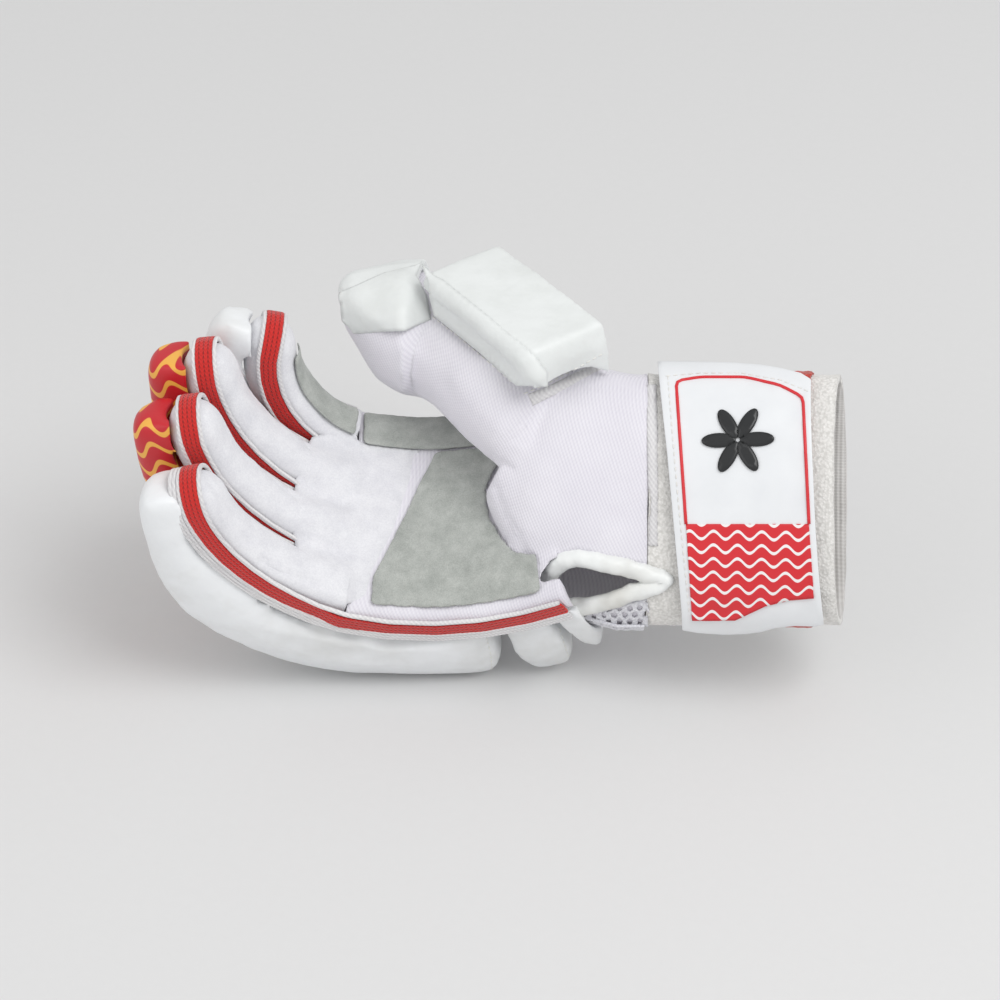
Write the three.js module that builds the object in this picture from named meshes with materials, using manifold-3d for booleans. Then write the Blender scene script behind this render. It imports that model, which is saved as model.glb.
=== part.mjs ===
// A right-hand cricket batting glove, lying on its back with the fingers curled up.
// Millimetres, +Z up. The fingers point to -X, the cuff opens to +X, and the origin
// is where the padding of the ring finger's knuckle rests on the table.

import * as THREE from "three";
import Module from "manifold-3d";

const solids = await Module();
solids.setup();

const DEGREE = Math.PI / 180;

// Driving sizes, in millimetres and degrees

const palm_width = 97.6;
const palm_length = 85.5;
const palm_thickness = 22;
const palm_dish = 3;
const palm_twist = 6;
const knuckle_reach = 58.5;
const knuckle_angle = 17;
const heel_angle = -30;

const cloth_wall = 1.6;
const suede_wall = 1.2;
const clearance = 0.3;

const finger_width = 20.6;
const finger_thickness = 21;
const finger_tip_round = 12;

const gusset_width = 7;
const gusset_wall = 1;
const gusset_tip_lift = 0.6;

const pad_depth = 45;
const pad_finger_depth = 41;
const pad_tip_depth = 25;
const pad_width = 22.8;
const pad_gap = 1.2;
const pad_edge_drop = 5;
const pad_seat = 0.6;
const pad_end_round = 4;
const pad_end_space = 7;
const side_pad_bulge = 6;

const wrist_length = 130;
const cuff_width = 96;
const cuff_depth = 46;
const cuff_wall = 2.4;
const cuff_length = 74;
const cuff_twist = 40;
const cuff_slant = 0.2;

const thumb_length = 112;
const thumb_width = 54;
const thumb_thickness = 32;
const thumb_spread = 53.5;
const thumb_tilt = 12.8;
const thumb_root = new THREE.Vector3(23, 72, 45);

const thumb_guard_length = 73;
const thumb_guard_width = 36;
const thumb_guard_height = 13.5;
const thumb_guard_start = -9;
const thumb_guard_aside = 1;
const thumb_guard_middle = 0.05;
const thumb_tip_wall = 4.5;

const strap_panel_start = 60.5;
const strap_panel_width = 59.5;
const strap_panel_wall = 2.4;
const loop_tape_start = 104;
const loop_tape_width = 16;
const loop_tape_wall = 1.2;
const LOOP_TAPE_TURN = [-15, 195];
const strap_band_start = 64;
const strap_band_width = 30;
const strap_band_wall = 2;
const STRAP_BAND_TURN = [195, 345];

const vent_start = 17.5;
const vent_low = 2.5;
const vent_length = 46;
const vent_height = 18.5;
const vent_binding = 4.6;
const vent_cut_reach = 14;
const mesh_start = 23;
const mesh_length = 33;
const mesh_wall = 1;
const mesh_lift = 0.8;
const mesh_hole = 2.6;
const mesh_pitch = 4;
const mesh_angle = 180;
const mesh_half_angle = 15;
const mesh_row_angle = 9;

const roll_angle = 14;
const lie_height = 46;
const rest_share = 0.45;
const rest_aside = 4.5;

const SIDES = 24;
const FINGER_SIDES = 12;
const THUMB_SIDES = 14;
const PAD_STEPS = 6;
const PALM_STEPS = 10;
const BOXINESS = 2.8;

// Points and directions of the open hand: +X to the cuff, Y across from the little
// finger to the thumb, Z out of the palm

const ALONG = new THREE.Vector3(1, 0, 0);
const ACROSS = new THREE.Vector3(0, 1, 0);
const OUT = new THREE.Vector3(0, 0, 1);

function mix(...terms) {
  const sum = new THREE.Vector3();
  for (const [vector, amount] of terms) sum.addScaledVector(vector, amount);
  return sum;
}

function between(a, b, t) {
  return a + (b - a) * t;
}

function smooth(t) {
  const u = Math.min(Math.max(t, 0), 1);
  return u * u * (3 - 2 * u);
}

// A table of rows, each starting with its place, read at any place between them
function readTable(rows, place) {
  let i = 0;
  while (i < rows.length - 2 && place > rows[i + 1][0]) i += 1;
  const [low, high] = [rows[i], rows[i + 1]];
  const t = Math.min(Math.max((place - low[0]) / (high[0] - low[0]), 0), 1);
  return low.map((value, k) => between(value, high[k], t));
}

// Closed skins, joined ring by ring

function signedPower(value, boxiness) {
  return Math.sign(value) * Math.abs(value) ** (2 / boxiness);
}

function ovalRing(centre, wide, deep, sides, boxiness = BOXINESS) {
  const ring = [];
  for (let i = 0; i < sides; i += 1) {
    const angle = (i / sides) * 2 * Math.PI;
    const across = signedPower(Math.cos(angle), boxiness);
    const out = signedPower(Math.sin(angle), boxiness);
    ring.push(mix([centre, 1], [wide, across], [deep, out]));
  }
  return ring;
}

function volumeOf(points, faces) {
  const cross = new THREE.Vector3();
  let sum = 0;
  for (const [a, b, c] of faces) {
    sum += cross.crossVectors(points[b], points[c]).dot(points[a]) / 6;
  }
  return sum;
}

// Rings of equal count become one closed skin. Its ends are closed by a fan to their
// middle, by rungs across a thin section, or onto each other when the rings go round.
function skin(rings, ends = "fan") {
  const count = rings[0].length;
  const points = rings.flat().map((point) => point.clone());
  const faces = [];
  const last = ends === "loop" ? rings.length : rings.length - 1;
  for (let j = 0; j < last; j += 1) {
    const [here, next] = [j * count, ((j + 1) % rings.length) * count];
    for (let i = 0; i < count; i += 1) {
      const k = (i + 1) % count;
      faces.push([here + i, here + k, next + k], [here + i, next + k, next + i]);
    }
  }
  for (const [start, turned] of [[0, true], [(rings.length - 1) * count, false]]) {
    const added = [];
    if (ends === "fan") {
      const middle = new THREE.Vector3();
      for (let i = 0; i < count; i += 1) middle.addScaledVector(points[start + i], 1 / count);
      points.push(middle);
      for (let i = 0; i < count; i += 1) {
        added.push([start + i, start + ((i + 1) % count), points.length - 1]);
      }
    }
    if (ends === "rungs") {
      for (let i = 0; i < count / 2 - 1; i += 1) {
        const [a, b] = [start + i, start + i + 1];
        const [c, d] = [start + count - 2 - i, start + count - 1 - i];
        added.push([a, b, c], [a, c, d]);
      }
    }
    for (const [a, b, c] of added) faces.push(turned ? [b, a, c] : [a, b, c]);
  }
  if (volumeOf(points, faces) < 0) faces.forEach((face) => face.reverse());
  return { points, faces };
}

function toSolid({ points, faces }) {
  const vertProperties = new Float32Array(points.flatMap((p) => [p.x, p.y, p.z]));
  const triVerts = new Uint32Array(faces.flat());
  return new solids.Manifold(new solids.Mesh({ numProp: 3, vertProperties, triVerts }));
}

function fromSolid(solid) {
  const { vertProperties, triVerts, numProp } = solid.getMesh();
  const points = [];
  for (let i = 0; i < vertProperties.length; i += numProp) {
    points.push(new THREE.Vector3(...vertProperties.slice(i, i + 3)));
  }
  const faces = [];
  for (let i = 0; i < triVerts.length; i += 3) faces.push([...triVerts.slice(i, i + 3)]);
  return { points, faces };
}

// The table top, in the hand's own directions
const table_up = mix([ACROSS, Math.sin(roll_angle * DEGREE)], [OUT, Math.cos(roll_angle * DEGREE)]);

// Padding that would sink into the table lies flat on it instead
function settle({ points, faces }) {
  const settled = points.map((point) => {
    const height = point.dot(table_up) + lie_height;
    return height < 0 ? mix([point, 1], [table_up, -height]) : point;
  });
  return { points: settled, faces };
}

// The rays of the hand: each runs from the heel through the palm and up its finger

// name, place across as a share of the palm, length, angle half way, angle at the tip,
// drift towards the thumb, share of the padding's depth
const FINGERS = [
  ["pinky", 0.125, 85, 43, 80, 13, 1],
  ["ring", 0.375, 93, 46, 85, 14, 1.25],
  ["middle", 0.625, 92, 51, 87, 15, 1.12],
  ["index", 0.875, 70, 60, 112, 21, 1.04],
];

function rayAngle(s, length, half_angle, tip_angle) {
  if (s < 0) return between(knuckle_angle, heel_angle, -s / palm_length);
  const t = s / length;
  if (t < 0.5) return between(knuckle_angle, half_angle, t * 2);
  return between(half_angle, tip_angle, t * 2 - 1);
}

const longest = Math.max(...FINGERS.map((row) => row[2]));

function headingAt(angle, lean = 0) {
  return new THREE.Vector3(-Math.cos(angle * DEGREE), lean, Math.sin(angle * DEGREE)).normalize();
}

function squared(side, heading) {
  return mix([side, 1], [heading, -side.dot(heading)]).normalize();
}

// A ray answers with its middle, its heading, its side towards the thumb and its
// palm side at any distance from the knuckle: towards the heel is less than 0
function makeRay(share, length, half_angle, tip_angle, full_drift) {
  const level = mix([ACROSS, Math.cos(palm_twist * DEGREE)], [OUT, Math.sin(palm_twist * DEGREE)]);
  const aside = (share - 0.5) * palm_width;
  return (s) => {
    const root = squared(level, headingAt(rayAngle(Math.min(s, 0), length, half_angle, tip_angle)));
    const middle = mix([ALONG, -knuckle_reach], [ACROSS, palm_width / 2], [root, aside]);
    const steps = Math.max(Math.ceil(Math.abs(s) / 2), 1);
    for (let i = 0; i < steps; i += 1) {
      const angle = rayAngle(((i + 0.5) / steps) * s, length, half_angle, tip_angle);
      middle.addScaledVector(headingAt(angle), s / steps);
    }
    const drift = Math.max(s / longest, 0);
    middle.y += full_drift * drift ** 1.5;
    const lean = (1.5 * full_drift * drift ** 0.5) / longest;
    const heading = headingAt(rayAngle(s, length, half_angle, tip_angle), lean);
    const turned = between(1, 0, smooth(drift * 2));
    const side = squared(mix([level, turned], [ACROSS, 1 - turned]), heading);
    return { middle, heading, side, palmar: new THREE.Vector3().crossVectors(side, heading) };
  };
}

const rays = {};
for (const [name, share, length, half_angle, tip_angle, drift, padding] of FINGERS) {
  rays[name] = { at: makeRay(share, length, half_angle, tip_angle, drift), length, padding };
}
const middle_row = FINGERS.find(([name]) => name === "middle");
const palm_ray = makeRay(0.5, ...middle_row.slice(2, 6));

// How much of its full width a finger keeps near its round tip
function tipShare(s, length) {
  const left = (length - s) / finger_tip_round;
  if (left >= 1) return 1;
  return Math.sqrt(Math.max(1 - (1 - left) ** 2, 0));
}

function trimmed(body, ...spaces) {
  let solid = toSolid(body);
  for (const space of spaces) solid = solid.subtract(space);
  return fromSolid(solid);
}

// The cloth hand: palm, wrist and thumb are three tubes, joined and hollowed

function palmRing(s, inset) {
  const { middle, side, palmar } = palm_ray(s);
  const half_width = palm_width / 2 - inset;
  const half_depth = palm_thickness / 2 - inset;
  const ring = [];
  for (let i = 0; i < SIDES; i += 1) {
    const angle = (i / SIDES) * 2 * Math.PI;
    const across = signedPower(Math.cos(angle), BOXINESS);
    const dish = Math.sin(angle) > 0 ? palm_dish * (1 - across * across) : 0;
    const out = half_depth * signedPower(Math.sin(angle), BOXINESS) - dish;
    ring.push(mix([middle, 1], [side, across * half_width], [palmar, out]));
  }
  return ring;
}

function palmTube(inset, front, heel = 0, steps = PALM_STEPS) {
  const rings = [palmRing(front, inset)];
  for (let i = 1; i <= steps; i += 1) {
    rings.push(palmRing((-i / steps) * (palm_length - heel), inset));
  }
  return skin(rings);
}

const cuff_up = mix([ACROSS, Math.cos(cuff_twist * DEGREE)], [OUT, Math.sin(cuff_twist * DEGREE)]);
const cuff_out = mix([ACROSS, -Math.sin(cuff_twist * DEGREE)], [OUT, Math.cos(cuff_twist * DEGREE)]);

// place along the wrist, then as shares of the cuff: rise of the middle, half width,
// half depth, how far out the middle lies; last the lean in degrees and the slant
const WRIST = [
  [0.02, 0.64, 0.20, 0.28, -0.46, 26, 0],
  [0.10, 0.565, 0.40, 0.42, -0.44, 12, 0],
  [0.22, 0.50, 0.50, 0.46, -0.42, 6, 0],
  [0.36, 0.455, 0.51, 0.48, -0.40, 2, 0],
  [0.48, 0.45, 0.505, 0.48, -0.38, 0, 0],
  [0.75, 0.455, 0.495, 0.50, -0.28, 0, 0.5],
  [1.00, 0.45, 0.50, 0.52, -0.18, 0, 1],
];

function wristRing(place, inset) {
  const [, rise, width, depth, away, lean, slant] = readTable(WRIST, place);
  const middle = mix([ALONG, place * wrist_length], [cuff_up, rise * cuff_width],
    [cuff_out, away * cuff_depth]);
  const half_width = width * cuff_width - inset;
  const half_depth = depth * cuff_depth - inset;
  const wide = mix([ALONG, Math.sin(lean * DEGREE) * half_width],
    [cuff_up, Math.cos(lean * DEGREE) * half_width]);
  const deep = mix([cuff_out, half_depth], [ALONG, -slant * cuff_slant * half_depth]);
  return ovalRing(middle, wide, deep, SIDES, 2.2);
}

const cuff_start = 1 - cuff_length / wrist_length;

// The ends of a stretch of the wrist, and the bends between them
function wristStops(from, to) {
  const bends = WRIST.map(([place]) => place).filter((place) => place > from && place < to);
  return [from, ...bends, to];
}

function wristTube(inset, from, to) {
  return skin(wristStops(from, to).map((place) => wristRing(place, inset)));
}

// The thumb lies in a plane of its own, nearly that of the palm, and bends in it
const thumb_out = mix([ACROSS, Math.sin(thumb_tilt * DEGREE)], [OUT, Math.cos(thumb_tilt * DEGREE)]);
const thumb_level = mix([ACROSS, Math.cos(thumb_tilt * DEGREE)], [OUT, -Math.sin(thumb_tilt * DEGREE)]);
const thumb_forward = mix([ALONG, -Math.cos(thumb_spread * DEGREE)],
  [thumb_level, Math.sin(thumb_spread * DEGREE)]);
const thumb_inward = mix([ALONG, -Math.sin(thumb_spread * DEGREE)],
  [thumb_level, -Math.cos(thumb_spread * DEGREE)]);

// place along the thumb; then as shares of its length: forward, inward and outward of
// the root; heading in degrees; shares of its width and thickness
const THUMB = [
  [-0.16, -0.14, 0.02, -0.24, 0, 0.36, 0.30],
  [0.00, 0.00, 0.04, -0.12, 0, 0.50, 0.60],
  [0.20, 0.20, 0.05, -0.07, 0, 0.52, 0.72],
  [0.40, 0.40, 0.05, -0.05, 4, 0.52, 0.68],
  [0.55, 0.53, 0.06, -0.06, 16, 0.52, 0.68],
  [0.66, 0.61, 0.12, -0.04, 38, 0.54, 0.68],
  [0.76, 0.65, 0.205, -0.035, 55, 0.51, 0.65],
  [0.86, 0.72, 0.27, -0.03, 60, 0.42, 0.54],
  [0.94, 0.77, 0.325, 0.03, 62, 0.24, 0.34],
  [1.00, 0.80, 0.36, 0.05, 62, 0.10, 0.16],
];

function thumbFrame(place) {
  const [, forward, inward, outward, heading, width, thickness] = readTable(THUMB, place);
  const middle = mix([thumb_root, 1], [thumb_forward, forward * thumb_length],
    [thumb_inward, inward * thumb_length], [thumb_out, outward * thumb_length]);
  const inner = mix([thumb_forward, -Math.sin(heading * DEGREE)],
    [thumb_inward, Math.cos(heading * DEGREE)]);
  return { middle, inner, half_width: width * thumb_width, half_depth: thickness * thumb_thickness };
}

function thumbRing(place, inset) {
  const { middle, inner, half_width, half_depth } = thumbFrame(place);
  return ovalRing(middle, inner.clone().multiplyScalar(half_width - inset),
    thumb_out.clone().multiplyScalar(half_depth - inset), THUMB_SIDES, 2.3);
}

function thumbTube(inset) {
  const tip = 1 - Math.max(inset, 0) / thumb_length;
  return skin(THUMB.map(([place]) => thumbRing(Math.min(place, tip), inset)));
}

const palm_solid = toSolid(palmTube(0, 0));
const wrist_solid = toSolid(wristTube(0, 0.02, cuff_start));
const thumb_solid = toSolid(thumbTube(0));
const hand_hollow = toSolid(palmTube(cloth_wall, 4, cloth_wall, PALM_STEPS / 2))
  .add(toSolid(wristTube(cloth_wall, 0.03, cuff_start + 0.05)))
  .add(toSolid(thumbTube(cloth_wall)));

// The vent: an almond cut in the lower front of the wrist, bound with leather

// place round the vent, as shares of its length from the fingers and of its height
const VENT = [
  [0.00, 0.42], [0.05, 0.12], [0.22, -0.02], [0.45, 0.06], [0.72, 0.30], [1.00, 0.52],
  [0.75, 0.74], [0.45, 0.92], [0.20, 1.00], [0.05, 0.76],
];

function ventOutline() {
  const corners = VENT.map(([x, y]) => new THREE.Vector3(
    vent_start + x * vent_length, vent_low + y * vent_height, 0));
  return new THREE.CatmullRomCurve3(corners, true).getSpacedPoints(24).slice(0, 24);
}

// How far out the wrist's wall stands at a place along and a rise above the table side
function wristFace(along, rise) {
  const [, middle, width, depth, away] = readTable(WRIST, along / wrist_length);
  const offset = Math.min(Math.abs(rise - middle * cuff_width) / (width * cuff_width), 0.985);
  const share = (1 - offset ** 2.2) ** (1 / 2.2);
  return away * cuff_depth + depth * cuff_depth * share;
}

function ventCutter(grow) {
  const outline = ventOutline();
  const wider = outline.map((point, i) => {
    const ahead = outline[(i + 1) % outline.length].clone().sub(outline.at(i - 1)).normalize();
    return new THREE.Vector2(point.x + ahead.y * grow, point.y - ahead.x * grow);
  });
  const rings = [-vent_cut_reach, vent_cut_reach].map((step) => wider.map((point, i) => mix([ALONG, point.x],
    [cuff_up, point.y], [cuff_out, wristFace(outline[i].x, outline[i].y) + step])));
  return toSolid(skin(rings));
}

const vent_hole = ventCutter(vent_binding / 2 + clearance);

function ventTube(radius) {
  const outline = ventOutline();
  const path = outline.map((point) => mix([ALONG, point.x], [cuff_up, point.y],
    [cuff_out, wristFace(point.x, point.y)]));
  const rings = path.map((point, i) => {
    const ahead = path[(i + 1) % path.length].clone().sub(path.at(i - 1)).normalize();
    const side = new THREE.Vector3().crossVectors(cuff_out, ahead).normalize();
    const up = new THREE.Vector3().crossVectors(ahead, side);
    return ovalRing(point, side.multiplyScalar(radius), up.multiplyScalar(radius), 6, 2);
  });
  return skin(rings, "loop");
}

const hand_space_above = toSolid(wristTube(-pad_seat, 0.01, 0.9)).add(toSolid(thumbTube(-pad_seat)));
const vent_space = toSolid(ventTube(vent_binding / 2 + clearance));
const hand_space = toSolid(palmTube(-pad_seat, clearance)).add(hand_space_above);

function handShell() {
  return fromSolid(palm_solid.add(wrist_solid).add(thumb_solid)
    .subtract(hand_hollow).subtract(vent_hole));
}

function cuffTube() {
  const from = cuff_start + clearance / wrist_length;
  const outer = toSolid(wristTube(0, from, 1));
  const inner = toSolid(wristTube(cuff_wall, from - 0.05, 1.05));
  return fromSolid(outer.subtract(inner).subtract(vent_hole));
}

// Fingers: hollow cloth sleeves, open at the knuckle

function fingerRing(name, s, inset) {
  const { at, length } = rays[name];
  const { middle, side, palmar } = at(s);
  const share = tipShare(s + inset, length);
  const wide = side.clone().multiplyScalar(Math.max((finger_width / 2 - inset) * share, 0.6));
  const deep = palmar.clone().multiplyScalar(Math.max((finger_thickness / 2 - inset) * share, 0.6));
  return ovalRing(middle, wide, deep, FINGER_SIDES);
}

const FINGER_STOPS = [0, 0.12, 0.24, 0.36, 0.48, 0.6, 0.7, 0.8, 0.87];
const TIP_STOPS = [0.93, 0.97, 0.994];
const LINING_STOPS = [0, 0.3, 0.6, 0.8, 0.9, 0.97];

function fingerSleeve(name) {
  const { length } = rays[name];
  const outer = [...FINGER_STOPS, ...TIP_STOPS].map((t) =>
    fingerRing(name, Math.max(t * length, clearance), 0));
  const inner = LINING_STOPS.map((t) => fingerRing(name,
    Math.max(t * (length - cloth_wall), clearance), cloth_wall));
  return skin([...inner.reverse(), ...outer]);
}

// The knit gusset: a band round the finger's two sides and over its tip. The little
// finger's also runs down the palm's side, at these shares of the palm.
const PALM_GUSSET_STOPS = [-0.98, -0.8, -0.6, -0.4, -0.2, 0.01];

function gussetPath(name) {
  const { at, length } = rays[name];
  const lift = clearance + gusset_wall / 2;
  const places = [];
  const sides = [0.01, ...FINGER_STOPS.slice(1)].filter((t) => t * length < length - finger_tip_round);
  const edge = (s, hand) => {
    const { middle, side, palmar } = at(s);
    const half = finger_width / 2 + lift;
    places.push({ point: mix([middle, 1], [side, hand * half]), palmar,
      outward: side.clone().multiplyScalar(hand) });
  };
  const near = sides.slice(name === "pinky" ? 1 : 0);
  if (name === "pinky") {
    for (const s of PALM_GUSSET_STOPS) {
      const { middle, side, palmar } = palm_ray(s * palm_length);
      places.push({ point: mix([middle, 1], [side, -palm_width / 2 - lift]), palmar,
        outward: side.clone().negate() });
    }
  }
  for (const t of near) edge(t * length, -1);
  const { middle, side, palmar, heading } = at(length - finger_tip_round);
  const tip = at(length - finger_tip_round * 0.5);
  for (let i = 0; i <= 8; i += 1) {
    const angle = (i / 8) * Math.PI;
    const outward = mix([side, -Math.cos(angle)], [tip.heading, Math.sin(angle)]).normalize();
    places.push({ outward, palmar: tip.palmar,
      point: mix([middle, 1], [side, -Math.cos(angle) * (finger_width / 2 + lift)],
        [tip.heading, Math.sin(angle) * (finger_tip_round + lift + gusset_tip_lift)]) });
  }
  for (const t of sides.reverse()) edge(t * length, 1);
  return places;
}

function gusset(name) {
  const rings = gussetPath(name).map(({ point, outward, palmar }) => {
    const [deep, wide] = [gusset_wall / 2, gusset_width / 2];
    return [[1, -1], [1, 1], [-1, 1], [-1, -1]].map(([out, up]) =>
      mix([point, 1], [outward, out * deep], [palmar, up * wide]));
  });
  return skin(rings, "rungs");
}

// Padding on the back of a ray, between two distances from its knuckle

function padDepth(name, s) {
  const { length, padding } = rays[name];
  const low = between(pad_depth * padding, pad_finger_depth, smooth((s / length - 0.02) / 0.4));
  return between(low, pad_tip_depth, smooth((s / length - 0.4) / 0.55));
}

function padRing(name, s, end, bulge, deeper) {
  const { at, length } = rays[name];
  const { middle, side, palmar } = at(s);
  const share = s > 0 ? Math.max(tipShare(s, length), 0.12) : 1;
  const rounding = 1 - 0.3 * (1 - Math.sqrt(1 - (1 - Math.min(end / pad_end_round, 1)) ** 2));
  const seat = finger_thickness / 2 + pad_seat;
  const depth = between(seat, padDepth(name, s) + deeper, rounding);
  const [outer, inner] = [[], []];
  for (let i = 0; i <= PAD_STEPS; i += 1) {
    const angle = -Math.PI * (i / PAD_STEPS);
    const across = signedPower(Math.cos(angle), 3);
    const back = signedPower(Math.sin(angle), 3);
    const wide = (pad_width / 2) * between(0.93, 1, rounding)
      + (across < 0 ? bulge * Math.sin(-angle) : 0);
    outer.push(mix([middle, 1], [side, across * wide],
      [palmar, -pad_edge_drop + back * (depth - pad_edge_drop)]));
    const half = (finger_width / 2 + pad_seat) * share;
    inner.push(mix([middle, 1], [side, across * (half - 0.4)],
      [palmar, Math.min(-pad_edge_drop - 0.4, back * seat * share)]));
  }
  return [...outer, ...inner.reverse()];
}

function pad(name, from, to, bulge = 0, deeper = 0) {
  const { length } = rays[name];
  const ends = [0, pad_end_round];
  const stops = [...ends.map((e) => from + e), ...ends.map((e) => to - e)];
  for (const t of FINGER_STOPS) stops.push(t * length);
  for (let i = 1; i <= PALM_STEPS; i += 2) stops.push((-i / PALM_STEPS) * palm_length);
  const kept = [...new Set(stops)].sort((a, b) => a - b)
    .filter((s) => s >= from && s <= to)
    .filter((s) => Math.min(s - from, to - s) <= pad_end_round
      || Math.min(s - from, to - s) > pad_end_space);
  const rings = kept.map((s) => padRing(name, s, Math.min(s - from, to - s), bulge, deeper));
  return settle(skin(rings, "rungs"));
}

// Patches that lie on the palm, the wrist or the thumb

// A plate between two lifts above a face, over a grid of places
function plate(rows, face, low, high) {
  const rings = rows.map((row) => [
    ...row.map((place) => face(...place, high)),
    ...row.map((place) => face(...place, low)).reverse(),
  ]);
  return skin(rings, "rungs");
}

function palmFace(s, across, lift) {
  const { middle, side, palmar } = palm_ray(s);
  const out = (palm_thickness / 2) * (1 - Math.abs(across) ** BOXINESS) ** (1 / BOXINESS)
    - palm_dish * (1 - across * across) + lift;
  return mix([middle, 1], [side, across * (palm_width / 2)], [palmar, out]);
}

// distance from the knuckle as a share of the palm, then how far across the palm the
// suede reaches from the little finger's side, -1 to 1
const PALM_SUEDE = [
  [0.10, -0.70], [0.20, -0.28], [0.30, 0.16], [0.38, 0.56], [0.93, 0.56],
];
const PALM_SUEDE_EDGE = -0.9;
const INDEX_SUEDE = [0.58, 0.75, 0.93];

function palmSuede() {
  const rows = [];
  for (let j = 1; j < PALM_STEPS; j += 1) {
    const place = j / PALM_STEPS;
    const reach = readTable(PALM_SUEDE, place)[1];
    rows.push([0, 0.25, 0.5, 0.75, 1].map((t) =>
      [-place * palm_length, between(PALM_SUEDE_EDGE, reach, t)]));
  }
  return plate(rows, palmFace, pad_seat, pad_seat + suede_wall);
}

function indexPalmSuede() {
  const rows = [];
  for (let j = 0; j < PALM_STEPS; j += 1) {
    const place = Math.max(j / PALM_STEPS, 0.02);
    rows.push(INDEX_SUEDE.map((across) => [-place * palm_length, across]));
  }
  return plate(rows, palmFace, pad_seat, pad_seat + suede_wall);
}

function fingerFace(name) {
  return (s, across, lift) => {
    const { middle, side, palmar } = rays[name].at(s);
    const share = tipShare(s, rays[name].length);
    const out = (finger_thickness / 2) * (1 - Math.abs(across) ** BOXINESS) ** (1 / BOXINESS);
    return mix([middle, 1], [side, across * (finger_width / 2) * share],
      [palmar, out * share + lift]);
  };
}

function fingerSuede(name) {
  const { length } = rays[name];
  const rows = [0.03, ...FINGER_STOPS.slice(1, 8)].map((t) =>
    [-0.62, -0.2, 0.2, 0.62].map((across) => [t * length, across]));
  return plate(rows, fingerFace(name), pad_seat, pad_seat + suede_wall);
}

// angle round the cuff in degrees: 0 on the thumb's side, 90 in front, 180 below
function cuffFace(place, degrees, lift) {
  const [, rise, width, depth, away, lean, slant] = readTable(WRIST, place);
  const across = signedPower(Math.cos(degrees * DEGREE), 2.2) * (width * cuff_width + lift);
  const out = signedPower(Math.sin(degrees * DEGREE), 2.2) * (depth * cuff_depth + lift);
  const lean_along = Math.sin(lean * DEGREE) * across;
  return mix([ALONG, place * wrist_length + lean_along - slant * cuff_slant * out],
    [cuff_up, rise * cuff_width + Math.cos(lean * DEGREE) * across],
    [cuff_out, away * cuff_depth + out]);
}

function cuffBand(from, long, [start, end], wall) {
  const rows = [];
  const turns = Math.round(((end - start) / 360) * SIDES);
  for (const along of [from, from + long]) {
    const row = [];
    for (let i = 0; i <= turns; i += 1) row.push([along / wrist_length, between(start, end, i / turns)]);
    rows.push(row);
  }
  return plate(rows, cuffFace, clearance, clearance + wall);
}

// place along the strap's panel, then the angles where its thumb side and its table
// side edges run
const PANEL = [
  [0.00, 8, 158], [0.12, 6, 163], [0.3, 7, 168], [0.45, 8, 168], [0.55, 11, 164],
  [0.66, 14, 157], [0.8, 20, 154], [0.93, 26, 154], [1.00, 32, 152],
];

// How far the panel's finger edge and its cuff edge slant towards the cuff, in mm
const PANEL_SKEW = [9.5, 5];
const PANEL_STEPS = 9;

function strapPanel() {
  const rows = PANEL.map(([place, start, end]) => {
    const row = [];
    for (let i = 0; i <= PANEL_STEPS; i += 1) {
      const angle = between(start, end, i / PANEL_STEPS);
      const skew = between(PANEL_SKEW[0], PANEL_SKEW[1], place) * smooth((angle - 20) / 140);
      row.push([(strap_panel_start + skew + place * strap_panel_width) / wrist_length, angle]);
    }
    return row;
  });
  const low = clearance * 3 + loop_tape_wall + 0.3;
  return plate(rows, cuffFace, low, low + strap_panel_wall);
}

// Spacer mesh below the vent, pierced with rows of oval holes

function meshPlate(low, high, margin = 0) {
  const from = (mesh_start - margin) / wrist_length;
  const to = (mesh_start + mesh_length + margin) / wrist_length;
  const half = mesh_half_angle + margin;
  const angles = [mesh_angle - half, mesh_angle, mesh_angle + half];
  const rows = wristStops(from, to).map((place) => angles.map((angle) => [place, angle]));
  return toSolid(plate(rows, cuffFace, low, high));
}

function meshPanel() {
  let panel = meshPlate(mesh_lift, mesh_lift + mesh_wall).subtract(vent_space);
  const columns = Math.floor((mesh_length - mesh_pitch) / mesh_pitch);
  for (let row = 0; row < 3; row += 1) {
    for (let i = 0; i < columns; i += 1) {
      const along = mesh_start + mesh_pitch * (0.75 + i + (row % 2) / 2);
      const angle = mesh_angle + (row - 1) * mesh_row_angle;
      const [low, high] = [-1, 4].map((lift) => cuffFace(along / wrist_length, angle, lift));
      const through = high.clone().sub(low).normalize();
      const wide = new THREE.Vector3().crossVectors(through, ALONG).setLength(mesh_hole * 0.4);
      const long = ALONG.clone().multiplyScalar(mesh_hole / 2);
      panel = panel.subtract(toSolid(skin([low, high].map((point) => ovalRing(point, long, wide, 6, 2)))));
    }
  }
  return fromSolid(panel);
}

// angle round the thumb: 0 on the palm's side, 90 on top, 180 on the far side
function thumbFace(place, degrees, lift) {
  const { middle, inner, half_width, half_depth } = thumbFrame(place);
  const across = signedPower(Math.cos(degrees * DEGREE), 2.3) * (half_width + lift);
  const out = signedPower(Math.sin(degrees * DEGREE), 2.3) * (half_depth + lift);
  return mix([middle, 1], [inner, across], [thumb_out, out]);
}

function thumbTipPad() {
  const rows = [];
  const places = [0.7, ...THUMB.map(([place]) => place).filter((place) => place > 0.72)];
  for (const place of places) {
    rows.push([45, 67.5, 90, 112.5, 135, 157.5, 180, 202.5].map((angle) => [place, angle]));
  }
  const rings = rows.map((row) => [
    ...row.map(([place, angle], i) => {
      const edge = Math.min(i, row.length - 1 - i) / 2;
      return thumbFace(place, angle, pad_seat + thumb_tip_wall * between(0.35, 1, smooth(edge)));
    }),
    ...row.map(([place, angle]) => thumbFace(place, angle, pad_seat)).reverse(),
  ]);
  return skin(rings, "rungs");
}

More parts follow.
